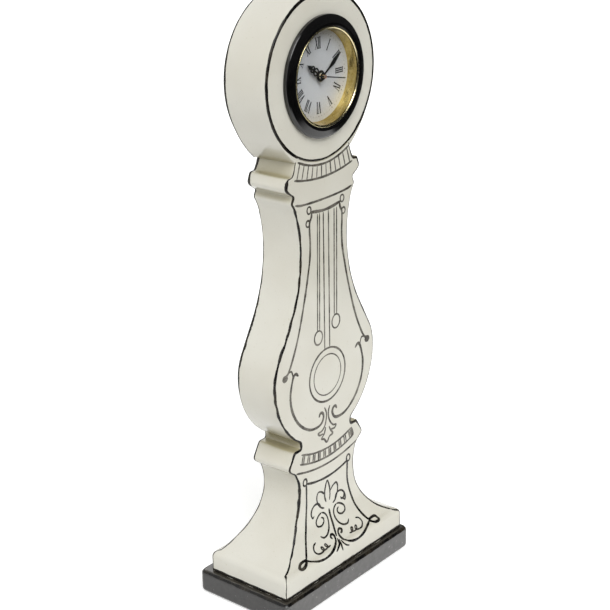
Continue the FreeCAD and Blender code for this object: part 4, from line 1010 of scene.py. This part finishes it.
def printDial():
    d = dialPrinting
    printing = Shape()

    def figure(outline, turn):
        printing.loft([[dialPoint(x, up, turn, lift) for x, up in outline] for lift in (-0.02, d["thick"])])

    def bar(x1, up1, x2, up2, width, turn):
        half = Vector((up2 - up1, x1 - x2)).normalized() * width / 2
        figure([(x1 - half.x, up1 - half.y), (x2 - half.x, up2 - half.y), (x2 + half.x, up2 + half.y),
                (x1 + half.x, up1 + half.y)], turn)

    low, high = d["middleRadius"] - d["height"] / 2, d["middleRadius"] + d["height"] / 2
    for hour, letters in enumerate(romanHours):
        turn = math.radians(30 * hour)
        x = -sum(letterWidths[letter] for letter in letters) / 2
        for letter in letters:
            middle, end = x + letterWidths[letter] / 2, x + letterWidths[letter]
            first, last = x + d["inset"], end - d["inset"]
            if letter == "I":
                bars = [(middle, low, middle, high, d["stem"])]
                feet = [(middle, low), (middle, high)]
            elif letter == "V":
                bars = [(first, high, middle, low, d["stem"]), (last, high, middle, low, d["hair"])]
                feet = [(first, high), (last, high)]
            else:
                bars = [(first, high, last, low, d["stem"]), (last, high, first, low, d["hair"])]
                feet = [(first, high), (last, high), (first, low), (last, low)]
            half = d["serif"] / 2
            for line in bars + [(foot - half, up, foot + half, up, d["hair"]) for foot, up in feet]:
                bar(*line, turn)
            x = end
    for minute in range(60):
        radius = d["dot"] if minute % 5 else d["hourDot"]
        figure([(radius * math.sin(k * math.pi / 5), d["trackRadius"] + radius * math.cos(k * math.pi / 5))
                for k in range(10)], math.radians(6 * minute))
    placePiece(printing.mesh("dialPrinting", dialInk), "insert", "black_lacquer")


printDial()
print("dial printed")


# Hands, drawn upright and turned to the time

handSizes = {"hour": 10, "minute": 9, "second": 17, "thick": 0.3, "hourLevel": -1.9, "minuteLevel": -0.6,
             "secondLevel": 0.6, "hourReach": 11.5, "minuteReach": 16.5, "secondReach": 15.7, "secondTail": 5.0,
             "segments": 40, "wireStep": 0.25, "wire": 0.75, "sharpAngle": 30}
handTurns = {"second": handSizes["second"] / 60}
handTurns["minute"] = (handSizes["minute"] + handTurns["second"]) / 60
handTurns["hour"] = (handSizes["hour"] + handTurns["minute"]) / 12


class HandShape(Shape):
    # flat bars, discs and blades of one hand
    def __init__(self, name, hand):
        super().__init__()
        self.name, self.level = name, handSizes[hand + "Level"]
        self.turn = 2 * math.pi * handTurns[hand]

    def place(self, x, up, lift):
        return dialPoint(x, up, self.turn, self.level - insertSizes["dialFront"] + lift)

    def blade(self, sides, thick, edge):
        # a roof-shaped blade: (half width, up) rows from its foot to its point
        section = ((-1, 0), (-1, edge), (0, thick), (1, edge), (1, 0))
        self.loft([[self.place(half * side, up, lift) for side, lift in section] for half, up in sides])

    def wire(self, path, width, thick):
        # a flat bar along a smooth line
        line = smoothPath(path, handSizes["wireStep"])
        section = ((-1, 0), (-1, thick * 0.8), (0, thick), (1, thick * 0.8), (1, 0))
        self.loft([[self.place(*(spot + right * side * width / 2), lift) for side, lift in section]
                   for spot, right in zip(line, outwardNormals(line))])

    def boss(self, profile):
        # a turned hub: (radius, lift) rows of a closed outline
        self.loft([[self.place(r * math.sin(t), r * math.cos(t), lift) for r, lift in profile]
                   for t in fullTurn(handSizes["segments"])], True)

    def piece(self, body, material, node):
        placePiece(self.mesh(self.name, material, handSizes["sharpAngle"]), body, "black_hands", node)


def buildHands():
    s = handSizes
    thick = s["thick"]
    hour = HandShape("hourHand", "hour")
    hour.boss([(1.42, 0), (2.7, 0), (2.7, 0.22), (2.5, thick), (1.7, thick), (1.42, 0.2)])
    for side in (-1, 1):
        hour.wire([(side * 0.5, 2.4), (side * 1.5, 3.6), (side * 1.6, 4.8), (side * 0.3, 5.9)], s["wire"], thick)
        hour.wire([(side * 0.3, 5.8), (side * 1.3, 6.6), (side * 1.25, 7.6), (side * 0.15, 8.3)], s["wire"], thick)
    hour.blade([(0.45, 2.4), (0.4, 5.6), (0.45, 8.0), (1.1, 8.9), (0.6, 10.0), (0.03, s["hourReach"])], thick, 0.15)
    hour.piece("hour", handLacquer, "hour_hand")

    minute = HandShape("minuteHand", "minute")
    minute.boss([(0.87, 0), (1.8, 0), (1.8, 0.22), (1.65, thick), (1.0, thick), (0.87, 0.2)])
    minute.blade([(0.5, 1.2), (0.55, 5.4), (0.65, 6.8), (0.95, 8.0), (1.25, 9.2), (1.1, 11.0), (0.6, 14.0),
                  (0.03, s["minuteReach"])], thick, 0.12)
    minute.piece("minute", handLacquer, "minute_hand")

    second = HandShape("secondHand", "second")
    second.blade([(0.3, -s["secondTail"]), (0.38, -3.0), (0.32, 0), (0.26, s["secondReach"])], 0.22, 0.12)
    second.piece("seconds", handLacquer, "second_hand")
    cap = HandShape("centreCap", "second")
    dome = [(0.42, 0.28), (0.95, 0.28)]
    dome += [(0.98 * math.cos(math.pi / 2 * k / 5), 0.35 + 0.35 * math.sin(math.pi / 2 * k / 5)) for k in range(5)]
    cap.boss(dome + [(0.05, 0.7), (0.05, 0.45)])
    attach(cap.mesh(cap.name, capGilt, s["sharpAngle"]), "seconds")


buildHands()
print("hands done")


# Moulded pieces seen from behind get soft edges

softEdges = {"nodes": ("movement_cup", "battery_hatch", "setting_knob"), "width": 0.12, "segments": 2, "angle": 40}
for name in softEdges["nodes"]:
    soft = frame["nodes"][name].modifiers.new("softEdges", "BEVEL")
    soft.width = softEdges["width"] * mm
    soft.segments = softEdges["segments"]
    soft.limit_method = "ANGLE"
    soft.angle_limit = math.radians(softEdges["angle"])


# Studio: a sheet of white paper that runs up behind the object, a big diffuser overhead, soft boxes on the left
# and at the back, an unlit room on the camera's side, and the camera

studio = {"floorHalf": 6000, "paper": "#e4e4e2", "room": "#222221", "paperEdge": [(320, -350), (420, 60)],
          "floorLift": 0.55, "worldLight": 0.28, "roomLight": 0.06, "backdropTo": (-0.6, 0.8, 0),
          "cameraAt": (-547.25, -453.72, 424.19), "aimAt": (-7.19, -7.63, 156.16), "roll": -0.933, "lens": 89.03,
          "sensor": 36, "clipStart": 10, "lampsTo": (0, 0, 150)}
lamps = {
    "overheadDiffuser": {"kind": "SUN", "at": (-600, -840, 1150), "energy": 2.5, "angle": math.radians(40)},
    "leftSoftBox": {"kind": "AREA", "at": (-1500, 300, 900), "energy": 2.0, "shape": "RECTANGLE", "size": 0.9,
                    "size_y": 1.5},
    "rearSoftBox": {"kind": "AREA", "at": (1000, 1500, 900), "energy": 8.0, "shape": "RECTANGLE", "size": 1.2,
                    "size_y": 1.2},
}


def throughGloss(add):
    # one for rays that met metal or glass on their way
    glossy = add("LightPath", {}, "Is Glossy Ray")
    passed = add("LightPath", {}, "Is Transmission Ray")
    return add("Math", {0: glossy, 1: passed}, operation="MAXIMUM")


def buildFloor():
    half = studio["floorHalf"] * mm
    mesh = bpy.data.meshes.new("studioFloor")
    mesh.from_pydata([(-half, -half, 0), (half, -half, 0), (half, half, 0), (-half, half, 0)], [], [(0, 1, 2, 3)])
    floor = addObject("studioFloor", mesh)
    material, add, where = startMaterial("paperSweep")
    # painted shade: beyond the paper's edge the floor takes the dark room colour for glossy and transmission rays
    # only; camera and diffuse rays see paper everywhere
    across = add("SeparateXYZ", {"Vector": where}, "X")
    (left, leftEnd), (right, rightEnd) = studio["paperEdge"]
    edge = add("MapRange", {"Value": across, "From Min": left * mm, "From Max": right * mm, "To Min": leftEnd * mm,
                            "To Max": rightEnd * mm})
    along = add("SeparateXYZ", {"Vector": where}, "Y")
    along = add("Math", {0: along, 1: edge}, operation="SUBTRACT")
    sheet = add("MapRange", {"Value": along, "From Min": -50 * mm, "From Max": 50 * mm})
    gloss = throughGloss(add)
    sheet = add("Mix", {0: gloss, 2: 1.0, 3: sheet})
    colour = add("Mix", {0: sheet, 6: studio["room"], 7: studio["paper"]}, 2, data_type="RGBA")
    paper = add("BsdfDiffuse", {"Color": colour})
    direct = add("LightPath", {}, "Is Camera Ray")
    seen = add("Math", {0: direct, 1: gloss}, operation="MAXIMUM")
    lift = add("Math", {0: sheet, 1: studio["floorLift"]}, operation="MULTIPLY")
    lift = add("Math", {0: lift, 1: seen}, operation="MULTIPLY")
    glow = add("Emission", {"Color": "#ffffff", "Strength": lift})
    add("OutputMaterial", {"Surface": add("AddShader", {0: paper, 1: glow})})
    mesh.materials.append(material)


def buildWorld():
    world = bpy.data.worlds.new("studioWorld")
    bpy.context.scene.world = world
    world.use_nodes = True
    world.node_tree.nodes.clear()
    add = partial(addNode, world.node_tree)
    towards = add("TexCoord", {}, "Generated")
    facing = add("VectorMath", {0: towards, 1: studio["backdropTo"]}, "Value", operation="DOT_PRODUCT")
    backdrop = add("MapRange", {
        "Value": facing, "From Min": -0.2, "From Max": 0.4, "To Min": studio["roomLight"], "To Max": 1.0})
    light = add("Mix", {0: throughGloss(add), 2: studio["worldLight"], 3: backdrop})
    direct = add("LightPath", {}, "Is Camera Ray")
    strength = add("Math", {0: light, 1: direct}, operation="MAXIMUM")
    sky = add("Background", {"Color": "#ffffff", "Strength": strength})
    add("OutputWorld", {"Surface": sky})


def addLamp(name, kind, at, **settings):
    data = bpy.data.lights.new(name, kind)
    for setting, value in settings.items():
        setattr(data, setting, value)
    lamp = addObject(name, data)
    lamp.location = Vector(at) * mm
    lamp.rotation_euler = (Vector(studio["lampsTo"]) - Vector(at)).to_track_quat("-Z", "Y").to_euler()


def placeCamera():
    data = bpy.data.cameras.new("photoCamera")
    data.lens = studio["lens"]
    data.sensor_width = studio["sensor"]
    data.clip_start = studio["clipStart"] * mm
    camera = addObject("photoCamera", data)
    at, aim = Vector(studio["cameraAt"]) * mm, Vector(studio["aimAt"]) * mm
    turn = (aim - at).to_track_quat("-Z", "Y").to_matrix().to_4x4()
    camera.matrix_world = Matrix.Translation(at) @ turn @ Matrix.Rotation(math.radians(studio["roll"]), 4, "Z")
    bpy.context.scene.camera = camera


buildFloor()
buildWorld()
for name, lamp in lamps.items():
    addLamp(name, **lamp)
placeCamera()
bpy.context.scene.view_settings.view_transform = "Standard"
print("studio done")
